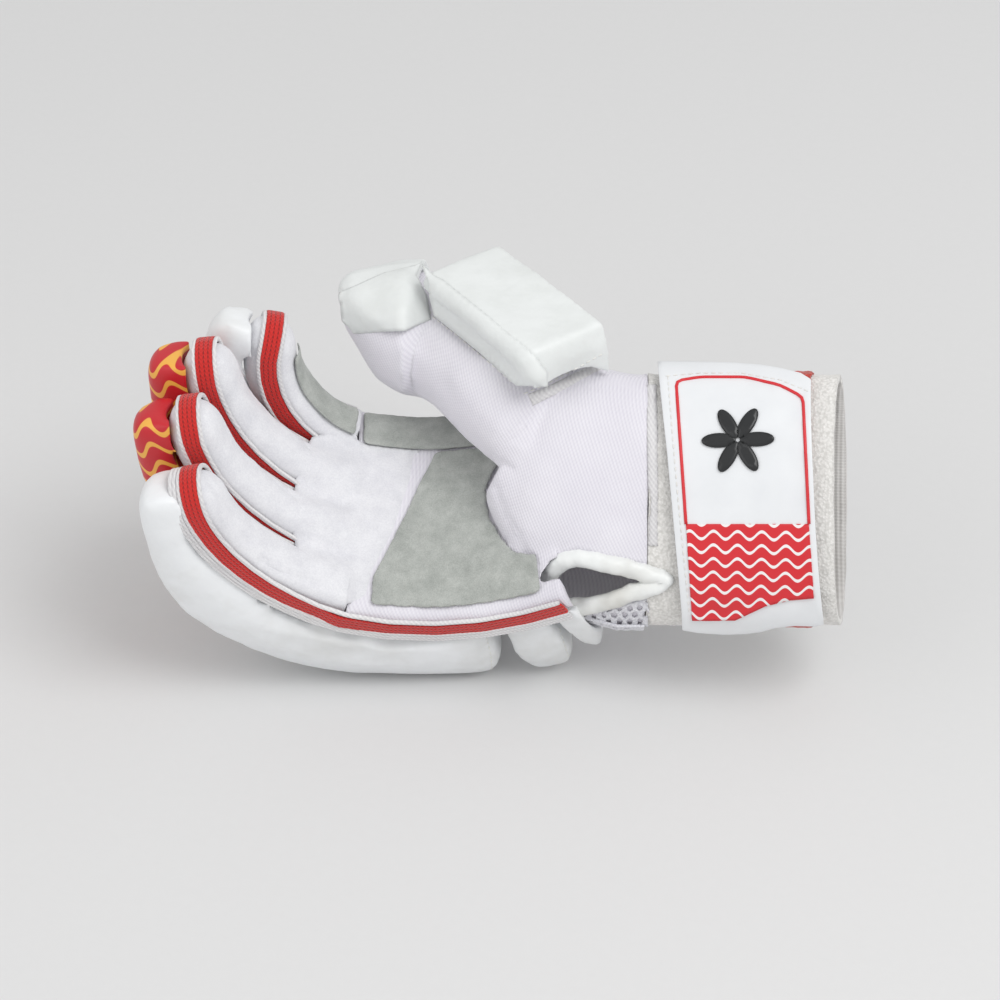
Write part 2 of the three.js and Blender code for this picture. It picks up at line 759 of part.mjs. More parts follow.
// The guard: a block of padding with a flat face, seated on the thumb
function thumbGuard() {
  const top = (thumb_thickness / 2) + pad_seat + thumb_guard_height;
  const rings = [];
  for (const t of [0, 0.04, 0.2, 0.5, 0.8, 0.96, 1]) {
    const forward = thumb_guard_start + t * thumb_guard_length;
    const frame = thumbFrame(forward / thumb_length);
    const round = t === 0 || t === 1 ? 0.45 : 1;
    const [outer, inner] = [[], []];
    for (const u of [-1, -0.92, -0.5, 0, 0.5, 0.92, 1]) {
      const inward = thumb_guard_aside + (u * thumb_guard_width) / 2;
      const from_middle = (inward - thumb_guard_middle * thumb_length) / (frame.half_width + pad_seat);
      const floor = (frame.half_depth + pad_seat)
        * (1 - Math.min(Math.abs(from_middle), 0.98) ** 2.3) ** (1 / 2.3);
      const edge = Math.abs(u) === 1 ? 0.5 : 1;
      const height = between(floor + 1.5, top, Math.min(edge, round));
      const at = (out) => mix([thumb_root, 1], [thumb_forward, forward],
        [thumb_inward, inward], [thumb_out, out]);
      outer.push(at(height));
      inner.push(at(floor));
    }
    rings.push([...outer, ...inner.reverse()]);
  }
  return fromSolid(toSolid(skin(rings, "rungs")).subtract(hand_space_above));
}

// Assembly

const hand = new THREE.Group();
hand.rotation.x = roll_angle * DEGREE;

const COLOURS = {
  knit_cloth: [0xe4e2e8, 0.95],
  towelling: [0xdedcd7, 1.0],
  white_leather: [0xe9ecef, 0.5],
  grey_suede: [0xb9bcb8, 0.95],
  red_knit: [0xc8201c, 0.9],
  printed_leather: [0xd0282e, 0.5],
  strap_plate: [0xeef0f2, 0.45],
  red_loop: [0xc83222, 1.0],
  spacer_mesh: [0xe6e6ea, 0.9],
};

function addMesh(name, colour, { points, faces }) {
  const geometry = new THREE.BufferGeometry();
  const corners = faces.flat().flatMap((i) => [points[i].x, points[i].y, points[i].z]);
  geometry.setAttribute("position", new THREE.Float32BufferAttribute(corners, 3));
  geometry.computeVertexNormals();
  const [color, roughness] = COLOURS[colour];
  const mesh = new THREE.Mesh(geometry,
    new THREE.MeshStandardMaterial({ color, roughness, metalness: 0 }));
  mesh.name = name;
  hand.add(mesh);
}

addMesh("hand_shell", "knit_cloth", handShell());
addMesh("cuff", "towelling", cuffTube());
addMesh("vent_binding", "white_leather", ventTube(vent_binding / 2));
for (const [name, , length] of FINGERS) {
  addMesh(`${name}_sleeve`, "knit_cloth", fingerSleeve(name));
  addMesh(`${name}_gusset`, "red_knit", gusset(name));
}

// name, ray, from, to, material, bulge, how much deeper than the ray's padding
const PADS = [
  ["pinky_side_pad", "pinky", -0.62, 0.99, "white_leather", side_pad_bulge, 0],
  ["pinky_wrist_pad", "pinky", -0.86, -0.64, "white_leather", 2, 5.5],
  ["pinky_wrist_flap", "pinky", -0.98, -0.875, "white_leather", 0, -3],
];
for (const name of ["ring", "middle", "index"]) {
  const print = name === "index" ? "white_leather" : "printed_leather";
  PADS.push([`${name}_back_pad`, name, -0.66, -0.02, "white_leather", 0, 0]);
  PADS.push([`${name}_knuckle_pad`, name, 0.01, 0.34, "white_leather", 0, 0]);
  PADS.push([`${name}_middle_pad`, name, 0.35, 0.68, print, 0, 0]);
  PADS.push([`${name}_tip_pad`, name, 0.69, 0.99, print, 0, 0]);
}
const mesh_space = meshPlate(mesh_lift - clearance, mesh_lift + mesh_wall + clearance, 1);
for (const [name, ray, from, to, colour, bulge, deeper] of PADS) {
  const place = (share) => share * (share < 0 ? palm_length : rays[ray].length);
  let body = pad(ray, place(from), place(to) - pad_gap, bulge, deeper);
  if (from < 0) body = trimmed(body, hand_space, vent_space, mesh_space);
  addMesh(name, colour, body);
}
addMesh("palm_suede", "grey_suede", trimmed(palmSuede(), hand_space_above));
addMesh("index_palm_suede", "grey_suede", trimmed(indexPalmSuede(), hand_space_above));
addMesh("index_finger_suede", "grey_suede", fingerSuede("index"));
addMesh("loop_tape", "red_loop",
  cuffBand(loop_tape_start, loop_tape_width, LOOP_TAPE_TURN, loop_tape_wall));
addMesh("strap_band", "towelling",
  cuffBand(strap_band_start, strap_band_width, STRAP_BAND_TURN, strap_band_wall));
addMesh("strap_panel", "strap_plate", strapPanel());
addMesh("mesh_panel", "spacer_mesh", meshPanel());
addMesh("thumb_tip_pad", "white_leather", thumbTipPad());
addMesh("thumb_guard", "white_leather", thumbGuard());

const glove = new THREE.Group();
glove.add(hand);
const rest = -rest_share * palm_length;
const over = rays.ring.at(rest);
const lowest = mix([over.middle, 1], [over.side, -rest_aside], [over.palmar, -padDepth("ring", rest)]);
const foot = mix([lowest, 1], [table_up, -(lowest.dot(table_up) + lie_height)]);
hand.position.copy(foot.applyAxisAngle(ALONG, roll_angle * DEGREE).negate());

export default glove;
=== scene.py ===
# %% [markdown]
# A cricket batting glove for the right hand, lying on its back with the fingers curled
# up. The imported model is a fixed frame: every piece made here takes its place from a
# named solid of that frame, and stands for it.

# %% Load the frame
import math

import bmesh
import bpy
from mathutils import Matrix, Vector, noise
from mathutils.bvhtree import BVHTree
from mathutils.kdtree import KDTree


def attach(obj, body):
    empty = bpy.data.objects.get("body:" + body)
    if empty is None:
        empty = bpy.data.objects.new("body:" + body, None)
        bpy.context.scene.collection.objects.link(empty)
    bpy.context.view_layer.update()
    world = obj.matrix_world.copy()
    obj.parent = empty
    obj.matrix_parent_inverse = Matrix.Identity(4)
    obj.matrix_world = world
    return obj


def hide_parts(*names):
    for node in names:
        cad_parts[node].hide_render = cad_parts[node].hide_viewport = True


MM = 0.001
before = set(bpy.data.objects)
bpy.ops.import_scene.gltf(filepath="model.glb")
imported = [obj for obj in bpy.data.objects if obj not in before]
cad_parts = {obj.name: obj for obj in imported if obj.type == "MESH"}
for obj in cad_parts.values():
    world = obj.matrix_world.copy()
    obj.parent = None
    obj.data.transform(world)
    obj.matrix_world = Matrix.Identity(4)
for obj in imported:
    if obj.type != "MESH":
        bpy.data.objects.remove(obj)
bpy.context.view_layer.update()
print("solids in the frame:", len(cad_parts))

# %% [markdown]
# The glove is seen from in front and 36 degrees above the table, through a long lens.
# The camera is built from three directions, and the same directions turn a place in the
# photograph into a line through space, which finds the place on the surface it falls on.

# %% Camera
ELEVATION = math.radians(36)
LENS = 135
SENSOR = 36
FRAMING = 380 * MM
IMAGE = 1000
RIGHT = Vector((1, 0, 0))
UP = Vector((0, math.sin(ELEVATION), math.cos(ELEVATION)))
BACK = RIGHT.cross(UP)
look_at = Vector((16.3, -51.9, 46)) * MM + UP * 43.2 * MM
eye = look_at + BACK * FRAMING * LENS / SENSOR

camera = bpy.data.objects.new("camera", bpy.data.cameras.new("camera"))
camera.data.lens = LENS
camera.data.sensor_width = SENSOR
camera.matrix_world = Matrix.Translation(eye) @ Matrix((RIGHT, UP, BACK)).transposed().to_4x4()
bpy.context.scene.collection.objects.link(camera)
bpy.context.scene.camera = camera
print("camera stands", round((eye - look_at).length, 3), "m away")

# %% [markdown]
# A white glove on pale paper needs light that is soft but not the same all round, or
# its folds vanish. One wide lamp stands to the upper right, a weaker one to the left,
# and a pale sky fills the rest.

# %% Light
SKY = 0.68
LAMPS = [
    ("key_lamp", (0.9, -0.7, 1.7), 1.1, 17),
    ("fill_lamp", (-1.3, -0.9, 0.9), 1.4, 5),
]
for name, spot, size, power in LAMPS:
    lamp = bpy.data.lights.new(name, "AREA")
    lamp.size = size
    lamp.energy = power
    holder = bpy.data.objects.new(name, lamp)
    holder.location = spot
    holder.rotation_euler = (look_at - Vector(spot)).to_track_quat("-Z", "Y").to_euler()
    bpy.context.scene.collection.objects.link(holder)

world = bpy.data.worlds.new("sky")
bpy.context.scene.world = world
world.use_nodes = True
world.node_tree.nodes["Background"].inputs["Strength"].default_value = SKY
world.node_tree.nodes["Background"].inputs["Color"].default_value = (1, 1, 1, 1)
bpy.context.scene.view_settings.view_transform = "Standard"
print("lamps:", len(LAMPS))

# %% [markdown]
# Every finish is a tree of nodes. One helper turns an sRGB hex value into the linear
# colour that the renderer works in, and one adds a node, sets it and links its inputs.
# Two more start a finish and end it, which all of them do alike.

# %% Colour and node helpers
def linear(hex_colour):
    """An sRGB hex value as a linear colour."""
    parts = [int(hex_colour[i:i + 2], 16) / 255 for i in (1, 3, 5)]
    lit = [p / 12.92 if p <= 0.04045 else ((p + 0.055) / 1.055) ** 2.4 for p in parts]
    return (*lit, 1)


def add_node(material, kind, inputs=None, **settings):
    """Adds one node; an input is given a value, or the output that feeds it."""
    tree = material.node_tree
    node = tree.nodes.new("ShaderNode" + kind)
    for key, value in settings.items():
        setattr(node, key, value)
    for key, value in (inputs or {}).items():
        if isinstance(value, bpy.types.NodeSocket):
            tree.links.new(value, node.inputs[key])
        else:
            node.inputs[key].default_value = value
    return node


def start_finish(name, roughness, **sockets):
    """A new material, its shader and the object's own coordinates."""
    material = bpy.data.materials.new(name)
    material.use_nodes = True
    shader = material.node_tree.nodes["Principled BSDF"]
    shader.inputs["Roughness"].default_value = roughness
    for key, value in sockets.items():
        shader.inputs[key.replace("_", " ")].default_value = value
    place = add_node(material, "TexCoord").outputs["Object"]
    return material, shader, place


def waves(pitch):
    """The scale that gives a Wave texture one band for each pitch, in metres."""
    return math.pi / 10 / pitch


def end_finish(material, shader, tone, bump):
    """Feeds the shader its colour and its bump."""
    material.node_tree.links.new(tone, shader.inputs["Base Color"])
    material.node_tree.links.new(bump.outputs[0], shader.inputs["Normal"])
    return material


print("white as linear:", [round(part, 3) for part in linear("#ffffff")])

# %% [markdown]
# The padding is covered with coated split leather. It is smooth and slightly glossy,
# with a pressed grain about a millimetre across, broad soft dents from the stuffing,
# and a faint grey tone where hands have held it.

# %% Coated leather
GRAIN = 0.9 * MM
DENT = 9 * MM
HANDLING = 34 * MM


def coated_leather(name, colour, soiled, roughness=0.46, marks=()):
    material, shader, place = start_finish(name, roughness, Coat_Weight=0.08,
                                           Coat_Roughness=0.35)
    cloud = add_node(material, "TexNoise", {"Vector": place, "Scale": 1 / HANDLING,
                                            "Detail": 4.0, "Roughness": 0.6})
    worn = add_node(material, "MapRange", {0: cloud.outputs[0], 1: 0.45, 2: 0.75, 3: 0.0, 4: 1.0})
    tone = add_node(material, "Mix", {0: worn.outputs[0], 6: linear(colour), 7: linear(soiled)},
                    data_type="RGBA").outputs[2]
    for spot, size, shade in marks:
        away = add_node(material, "VectorMath", {0: place, 1: spot}, operation="DISTANCE")
        edge = add_node(material, "MapRange", {0: away.outputs["Value"], 1: size * 0.4, 2: size,
                                               3: 0.75, 4: 0.0})
        tone = add_node(material, "Mix", {0: edge.outputs[0], 6: tone, 7: linear(shade)},
                        data_type="RGBA").outputs[2]
    grain = add_node(material, "TexVoronoi", {"Vector": place, "Scale": 1 / GRAIN})
    dents = add_node(material, "TexNoise", {"Vector": place, "Scale": 1 / DENT, "Detail": 2.0})
    pressed = add_node(material, "Bump", {"Height": grain.outputs["Distance"], "Strength": 0.16,
                                          "Distance": 0.12 * MM})
    soft = add_node(material, "Bump", {"Height": dents.outputs[0], "Strength": 0.3,
                                       "Distance": 2.2 * MM, "Normal": pressed.outputs[0]})
    return end_finish(material, shader, tone, soft)


white_leather = coated_leather("coated_leather_white", "#eef0f2", "#dcdddc")
guard_leather = coated_leather("coated_leather_guard", "#e6e9e8", "#d9dcda", 0.5)
binding_leather = coated_leather("coated_leather_binding", "#eceeed", "#d6d5cf", 0.4)
print("leathers:", white_leather.name, guard_leather.name, binding_leather.name)

# %% [markdown]
# The finger pads at the tips are red leather with a gold print. The print here is a
# plain design of regular waves: a band wherever a sine of the height, bent by a second
# sine along the finger, passes a threshold.

# %% Printed leather
PRINT_PITCH = 8.5 * MM
PRINT_WAVE = 13 * MM
PRINT_SWING = 2.6 * MM
PRINT_TURN = (0.3, 0.2, 0.5)
PRINT_SHARE = 0.62
PRINT_EDGE = 0.12


def printed_leather(name, ground, ink, pitch, wave, swing, turn, share):
    """Leather printed with even waves; turn sets which way they run."""
    material, shader, place = start_finish(name, 0.42, Coat_Weight=0.12, Coat_Roughness=0.3)
    turned = add_node(material, "Mapping", {"Vector": place, "Rotation": turn})
    axes = add_node(material, "SeparateXYZ", {0: turned.outputs[0]})
    along = add_node(material, "Math", {0: axes.outputs["X"], 1: 2 * math.pi / wave},
                     operation="MULTIPLY")
    swung = add_node(material, "Math", {0: along.outputs[0]}, operation="SINE")
    bent = add_node(material, "Math", {0: swung.outputs[0], 1: swing, 2: axes.outputs["Z"]},
                    operation="MULTIPLY_ADD")
    turns = add_node(material, "Math", {0: bent.outputs[0], 1: 2 * math.pi / pitch},
                     operation="MULTIPLY")
    height = add_node(material, "Math", {0: turns.outputs[0]}, operation="SINE")
    inked = add_node(material, "MapRange", {0: height.outputs[0], 1: share, 2: share + PRINT_EDGE,
                                            3: 0.0, 4: 1.0})
    cloud = add_node(material, "TexNoise", {"Vector": place, "Scale": 1 / HANDLING, "Detail": 3.0})
    base = add_node(material, "Mix", {0: cloud.outputs[0], 6: linear(ground[0]),
                                      7: linear(ground[1])}, data_type="RGBA").outputs[2]
    tone = add_node(material, "Mix", {0: inked.outputs[0], 6: base, 7: linear(ink)},
                    data_type="RGBA").outputs[2]
    grain = add_node(material, "TexVoronoi", {"Vector": place, "Scale": 1 / GRAIN})
    pressed = add_node(material, "Bump", {"Height": grain.outputs["Distance"], "Strength": 0.14,
                                          "Distance": 0.1 * MM})
    return end_finish(material, shader, tone, pressed)


finger_print = printed_leather("coated_leather_gold_waves", ("#d41f2c", "#b81824"), "#f0b24a",
                               PRINT_PITCH, PRINT_WAVE, PRINT_SWING, PRINT_TURN, PRINT_SHARE)
print("print repeats every", PRINT_PITCH / MM, "mm")

# %% [markdown]
# The palm sides of the fingers are thin soft sheepskin, matt and a little fuzzy, with a
# fine crackle of wrinkles. The grey patches of the palm are suede: a short nap that
# scatters light, lighter and darker where it was brushed.

# %% Sheepskin and suede
NAP = 0.45 * MM
BRUSHED = 7 * MM


def napped_skin(name, light, dark, nap, depth):
    material, shader, place = start_finish(name, 0.92, Sheen_Weight=0.15)
    fuzz = add_node(material, "TexNoise", {"Vector": place, "Scale": 1 / nap, "Detail": 3.0,
                                           "Roughness": 0.7})
    brushed = add_node(material, "TexNoise", {"Vector": place, "Scale": 1 / BRUSHED,
                                              "Detail": 5.0, "Roughness": 0.65})
    both = add_node(material, "Math", {0: fuzz.outputs[0], 1: brushed.outputs[0]}, operation="ADD")
    spread = add_node(material, "MapRange", {0: both.outputs[0], 1: 0.72, 2: 1.28, 3: 0.0, 4: 1.0})
    tone = add_node(material, "Mix", {0: spread.outputs[0], 6: linear(dark), 7: linear(light)},
                    data_type="RGBA").outputs[2]
    raised = add_node(material, "Bump", {"Height": both.outputs[0], "Strength": 0.45,
                                         "Distance": depth})
    return end_finish(material, shader, tone, raised)


sheepskin = napped_skin("sheepskin_white", "#ebebee", "#d9d9de", 0.7 * MM, 0.2 * MM)
suede = napped_skin("suede_grey", "#bcbfba", "#969a95", NAP, 0.35 * MM)
print("skins:", sheepskin.name, suede.name)

# %% [markdown]
# The hand is a fine cotton knit. Rows and columns of loops cross at about a
# millimetre: a wave texture for each, multiplied, raises a small bead where they meet.
# The true stitch is finer than the picture can hold, so it is drawn a little coarse.

# %% Fine knit
KNIT_ROW = 1.15 * MM
KNIT_COLUMN = 0.95 * MM
RIB_ROW = 1.9 * MM
RIB_COLUMN = 1.0 * MM
TAPE_WEAVE = 1.3 * MM


def fine_knit(name, light, dark, row, column, turn, depth):
    material, shader, place = start_finish(name, 0.95, Sheen_Weight=0.2)
    turned = add_node(material, "Mapping", {"Vector": place, "Rotation": turn})
    rows = add_node(material, "TexWave", {"Vector": turned.outputs[0], "Scale": waves(row)},
                    bands_direction="X")
    columns = add_node(material, "TexWave", {"Vector": turned.outputs[0], "Scale": waves(column)},
                       bands_direction="Z")
    loops = add_node(material, "Math", {0: columns.outputs["Fac"], 1: 0.45,
                                        2: rows.outputs["Fac"]}, operation="MULTIPLY_ADD")
    cloud = add_node(material, "TexNoise", {"Vector": place, "Scale": 1 / HANDLING, "Detail": 3.0})
    shade = add_node(material, "Math", {0: loops.outputs[0], 1: 0.35, 2: cloud.outputs[0]},
                     operation="MULTIPLY_ADD")
    spread = add_node(material, "MapRange", {0: shade.outputs[0], 1: 0.4, 2: 1.1, 3: 0.0, 4: 1.0})
    tone = add_node(material, "Mix", {0: spread.outputs[0], 6: linear(dark), 7: linear(light)},
                    data_type="RGBA").outputs[2]
    raised = add_node(material, "Bump", {"Height": loops.outputs[0], "Strength": 0.35,
                                         "Distance": depth})
    return end_finish(material, shader, tone, raised)


cotton_knit = fine_knit("cotton_knit_white", "#ebe9ef", "#d9d6df", KNIT_ROW, KNIT_COLUMN,
                        (0, 0.6, 0.2), 0.25 * MM)
rib_lining = fine_knit("cotton_rib_lining", "#dedcda", "#b9b6b3", RIB_ROW, RIB_COLUMN,
                       (0, 0, 0), 0.7 * MM)
woven_tape = fine_knit("cotton_woven_tape", "#e9e8e8", "#cfcdcf", TAPE_WEAVE, TAPE_WEAVE,
                       (0, 0.785, 0), 0.4 * MM)
print("knit row:", KNIT_ROW / MM, "mm")

# %% [markdown]
# Towelling is a pile of small cotton loops. Rounded cells of a Voronoi texture stand
# for the loops, and noise breaks their order. The red tape of the fastening is the same
# kind of pile, dyed and rougher.

# %% Towelling and loop tape
LOOP = 1.0 * MM


def looped_pile(name, light, dark, loop, depth):
    material, shader, place = start_finish(name, 1.0, Sheen_Weight=0.3)
    rough = add_node(material, "TexNoise", {"Vector": place, "Scale": 1 / loop, "Detail": 2.0})
    stirred = add_node(material, "VectorMath", {0: rough.outputs["Color"],
                                                1: (loop * 0.8,) * 3, 2: place},
                       operation="MULTIPLY_ADD")
    cells = add_node(material, "TexVoronoi", {"Vector": stirred.outputs[0], "Scale": 1 / loop},
                     feature="SMOOTH_F1")
    spread = add_node(material, "MapRange", {0: cells.outputs["Distance"], 1: 0.1, 2: 0.65,
                                             3: 0.0, 4: 1.0})
    tone = add_node(material, "Mix", {0: spread.outputs[0], 6: linear(light), 7: linear(dark)},
                    data_type="RGBA").outputs[2]
    raised = add_node(material, "Bump", {"Height": cells.outputs["Distance"], "Strength": 0.8,
                                         "Distance": depth}, invert=True)
    return end_finish(material, shader, tone, raised)


towelling = looped_pile("cotton_towelling", "#f0eeeb", "#d3d1cd", LOOP, 0.5 * MM)
loop_pile = looped_pile("nylon_loop_red", "#d8402c", "#a3200f", 0.9 * MM, 0.6 * MM)
print("loops every", LOOP / MM, "mm")

# %% [markdown]
# The strip round each finger is a thick red rib knit. Its columns of stitches run along
# the strip, each stitch a small slanting V, so the pattern needs to know how far along
# and how far across the strip a point lies. That is the piece's own UV map, in metres.

# %% Red rib knit
WALE = 1.75 * MM
STITCH = 1.7 * MM


def rib_knit(name, bright, deep):
    material, shader, _ = start_finish(name, 0.85, Sheen_Weight=0.25)
    strip = add_node(material, "UVMap", uv_map="strip")
    axes = add_node(material, "SeparateXYZ", {0: strip.outputs[0]})
    across = add_node(material, "Math", {0: axes.outputs["Y"], 1: 1 / WALE}, operation="MULTIPLY")
    column = add_node(material, "Math", {0: across.outputs[0], 1: 0.5}, operation="PINGPONG")
    steep = add_node(material, "Math", {0: column.outputs[0], 1: 1.7}, operation="MULTIPLY")
    slanted = add_node(material, "Math", {0: axes.outputs["X"], 1: 1 / STITCH,
                                          2: steep.outputs[0]}, operation="MULTIPLY_ADD")
    turns = add_node(material, "Math", {0: slanted.outputs[0], 1: 2 * math.pi},
                     operation="MULTIPLY")
    stitch = add_node(material, "Math", {0: turns.outputs[0]}, operation="SINE")
    groove = add_node(material, "MapRange", {0: column.outputs[0], 1: 0.0, 2: 0.22,
                                             3: -1.0, 4: 0.6})
    raised = add_node(material, "Math", {0: stitch.outputs[0], 1: 0.55, 2: groove.outputs[0]},
                      operation="MULTIPLY_ADD")
    spread = add_node(material, "MapRange", {0: raised.outputs[0], 1: -1.2, 2: 0.5,
                                             3: 0.0, 4: 1.0})
    tone = add_node(material, "Mix", {0: spread.outputs[0], 6: linear(deep), 7: linear(bright)},
                    data_type="RGBA").outputs[2]
    bump = add_node(material, "Bump", {"Height": raised.outputs[0], "Strength": 0.6,
                                       "Distance": 0.35 * MM})
    return end_finish(material, shader, tone, bump)


red_rib = rib_knit("rib_knit_red", "#d4251f", "#8d0f0c")
print("stitches every", STITCH / MM, "mm")

# %% [markdown]
# The last finishes are moulded or sewn: the flexible plate of the strap, with a red
# border and a plain wave print, black ink, cotton thread and the spacer mesh.

# %% Plate, ink, thread and mesh
PLATE_PITCH = 5.2 * MM
PLATE_WAVE = 9 * MM
PLATE_SWING = 1.5 * MM
PLATE_TURN = (0.55, 0, 0)
PLATE_SHARE = 0.7
PLATE_CLOUD = 12 * MM
PLATE_GRAIN = 0.6 * MM


def moulded_plate(name, colour, roughness):
    material, shader, place = start_finish(name, roughness, Coat_Weight=0.1, Coat_Roughness=0.25)
    cloud = add_node(material, "TexNoise", {"Vector": place, "Scale": 1 / PLATE_CLOUD,
                                            "Detail": 3.0})
    tone = add_node(material, "Mix", {0: cloud.outputs[0], 6: linear(colour[0]),
                                      7: linear(colour[1])}, data_type="RGBA").outputs[2]
    fine = add_node(material, "TexNoise", {"Vector": place, "Scale": 1 / PLATE_GRAIN})
    skin_bump = add_node(material, "Bump", {"Height": fine.outputs[0], "Strength": 0.12,
                                            "Distance": 0.08 * MM})
    return end_finish(material, shader, tone, skin_bump)


plate_white = moulded_plate("pvc_plate_white", ("#eceef0", "#e0e2e5"), 0.38)
plate_red = moulded_plate("pvc_ink_red", ("#dc2832", "#d0222c"), 0.4)
ink_black = moulded_plate("pvc_ink_black", ("#17181a", "#222426"), 0.35)
thread = moulded_plate("cotton_thread", ("#f2f2ef", "#d9d8d2"), 0.8)
plate_print = printed_leather("pvc_print_waves", ("#dc2832", "#d0222c"), "#f1eeee",
                              PLATE_PITCH, PLATE_WAVE, PLATE_SWING, PLATE_TURN, PLATE_SHARE)
spacer_mesh = looped_pile("polyester_spacer_mesh", "#e9e9ed", "#c9c9d0", 0.8 * MM, 0.25 * MM)
print("plate print repeats every", PLATE_PITCH / MM, "mm")

# %% [markdown]
# A CAD solid is loose triangles with hard facets. Each cloth or leather piece starts
# from a merged copy: its long edges are split, which gives the smoothing enough points
# to round the facets into soft cloth, and it is smoothed a few rounds. Splitting stops
# after a few rounds, because evening out the triangles can bring a long edge back.

# %% Mesh helpers
FLAT_JOIN = math.radians(25)
SPLIT_ROUNDS = 6
RIM_ANGLE = math.radians(55)
SAME_POINT = 0.02 * MM


def cad_copy(*nodes):
    """A merged bmesh of one or more CAD solids."""
    bm = bmesh.new()
    for node in nodes:
        bm.from_mesh(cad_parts[node].data)
    bmesh.ops.remove_doubles(bm, verts=bm.verts, dist=SAME_POINT)
    return bm


def refine(bm, longest):
    """Splits edges until none is longer than this, and keeps the triangles even."""
    bmesh.ops.triangulate(bm, faces=bm.faces)
    for _ in range(SPLIT_ROUNDS):
        split = [edge for edge in bm.edges if edge.calc_length() > longest]
        if not split:
            return bm
        bmesh.ops.subdivide_edges(bm, edges=split, cuts=1)
        bmesh.ops.triangulate(bm, faces=[face for face in bm.faces if len(face.verts) > 3])
        bm.normal_update()
        flat = [edge for edge in bm.edges
                if edge.is_manifold and edge.calc_face_angle(math.pi) < FLAT_JOIN]
        bmesh.ops.beautify_fill(bm, faces=bm.faces, edges=flat)
    return bm


def relax(bm, rounds, keep_rims=False):
    """Smooths the points; those on a sharp rim can be left where they are."""
    free = list(bm.verts)
    if keep_rims:
        bm.normal_update()
        sharp = [edge for edge in bm.edges if edge.calc_face_angle(0) > RIM_ANGLE]
        rims = {vert for edge in sharp for vert in edge.verts}
        free = [vert for vert in bm.verts if vert not in rims]
    for _ in range(rounds):
        bmesh.ops.smooth_vert(bm, verts=free, factor=0.5,
                              use_axis_x=True, use_axis_y=True, use_axis_z=True)
    bm.normal_update()
    return bm


def ruffle(bm, size, depth, seed):
    """Moves points in and out along their normals by a soft noise."""
    bm.normal_update()
    away = Vector((seed * 7.3, seed * 1.9, seed * 4.1))
    for vert in bm.verts:
        vert.co += vert.normal * depth * noise.noise(vert.co / size + away)
    return bm


def link_object(name, bm):
    """An object of the scene from a bmesh, shaded smooth."""
    mesh = bpy.data.meshes.new(name)
    bm.to_mesh(mesh)
    bm.free()
    mesh.shade_smooth()
    made = bpy.data.objects.new(name, mesh)
    bpy.context.scene.collection.objects.link(made)
    return made


def dress(made, slot, materials, *nodes):
    """Gives a piece its finishes and its body, and hides the solids it stands for; its slot is not
    used.
    """
    for material in materials:
        made.data.materials.append(material)
    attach(made, "root")
    if nodes:
        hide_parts(*nodes)
    print(made.name, "faces:", len(made.data.polygons))
    return made


def tree_of(*nodes):
    """What a ray can hit of some CAD solids."""
    bm = cad_copy(*nodes)
    tree = BVHTree.FromBMesh(bm)
    bm.free()
    return tree


hand_tree = tree_of("hand_shell", "cuff")
print("hand tree built")

# %% [markdown]
# Creases, seams and stitch rows are placed on the photograph. A line of pixels
# is thrown from the camera onto the solid that carries it, so the feature lies on that
# surface from every side.

# %% Lines from the photograph
def photo_line(pixels, tree, spacing=1.5 * MM):
    """Points on a surface, with their normals, below a line of pixels."""
    points = []
    for (x0, y0), (x1, y1) in zip(pixels, pixels[1:]):
        steps = max(int(math.hypot(x1 - x0, y1 - y0) * FRAMING / IMAGE / spacing), 1)
        for i in range(steps + 1):
            x = x0 + (x1 - x0) * i / steps
            y = y0 + (y1 - y0) * i / steps
            ray = (RIGHT * (x / IMAGE - 0.5) - UP * (y / IMAGE - 0.5)) * SENSOR / LENS - BACK
            spot, normal, _, _ = tree.ray_cast(eye, ray.normalized())
            if spot and not (points and (points[-1][0] - spot).length < spacing / 2):
                points.append((spot, normal))
    return points


def crease(bm, line, width, depth):
    """Presses a soft groove into a surface along a line of points."""
    if not line:
        return bm
    near = KDTree(len(line))
    for i, (spot, _) in enumerate(line):
        near.insert(spot, i)
    near.balance()
    bm.normal_update()
    for vert in bm.verts:
        away = near.find(vert.co)[2]
        if away < 3 * width:
            vert.co -= vert.normal * depth * math.exp(-((away / width) ** 2))
    return bm


def tube(name, points, radius):
    """A cord through points, closed at both ends, as a bmesh."""
    line = bpy.data.curves.new(name, "CURVE")
    line.dimensions = "3D"
    line.bevel_depth = radius
    line.bevel_resolution = 2
    line.use_fill_caps = True
    spline = line.splines.new("POLY")
    spline.points.add(len(points) - 1)
    for knot, point in zip(spline.points, points):
        knot.co = (*point, 1)
    holder = bpy.data.objects.new(name, line)
    bm = bmesh.new()
    bm.from_mesh(holder.to_mesh())
    holder.to_mesh_clear()
    bpy.data.objects.remove(holder)
    bpy.data.curves.remove(line)
    bmesh.ops.remove_doubles(bm, verts=bm.verts, dist=0.01 * MM)
    return bm


def smoothed(points):
    """The same line with its corners softened; its ends stay."""
    middle = [(a + b * 2 + c) / 4 for a, b, c in zip(points, points[1:], points[2:])]
    return [points[0], *middle, points[-1]]


def join(parts):
    """One bmesh out of several."""
    whole = bmesh.new()
    for part in parts:
        mesh = bpy.data.meshes.new("part")
        part.to_mesh(mesh)
        part.free()
        whole.from_mesh(mesh)
        bpy.data.meshes.remove(mesh)
    return whole


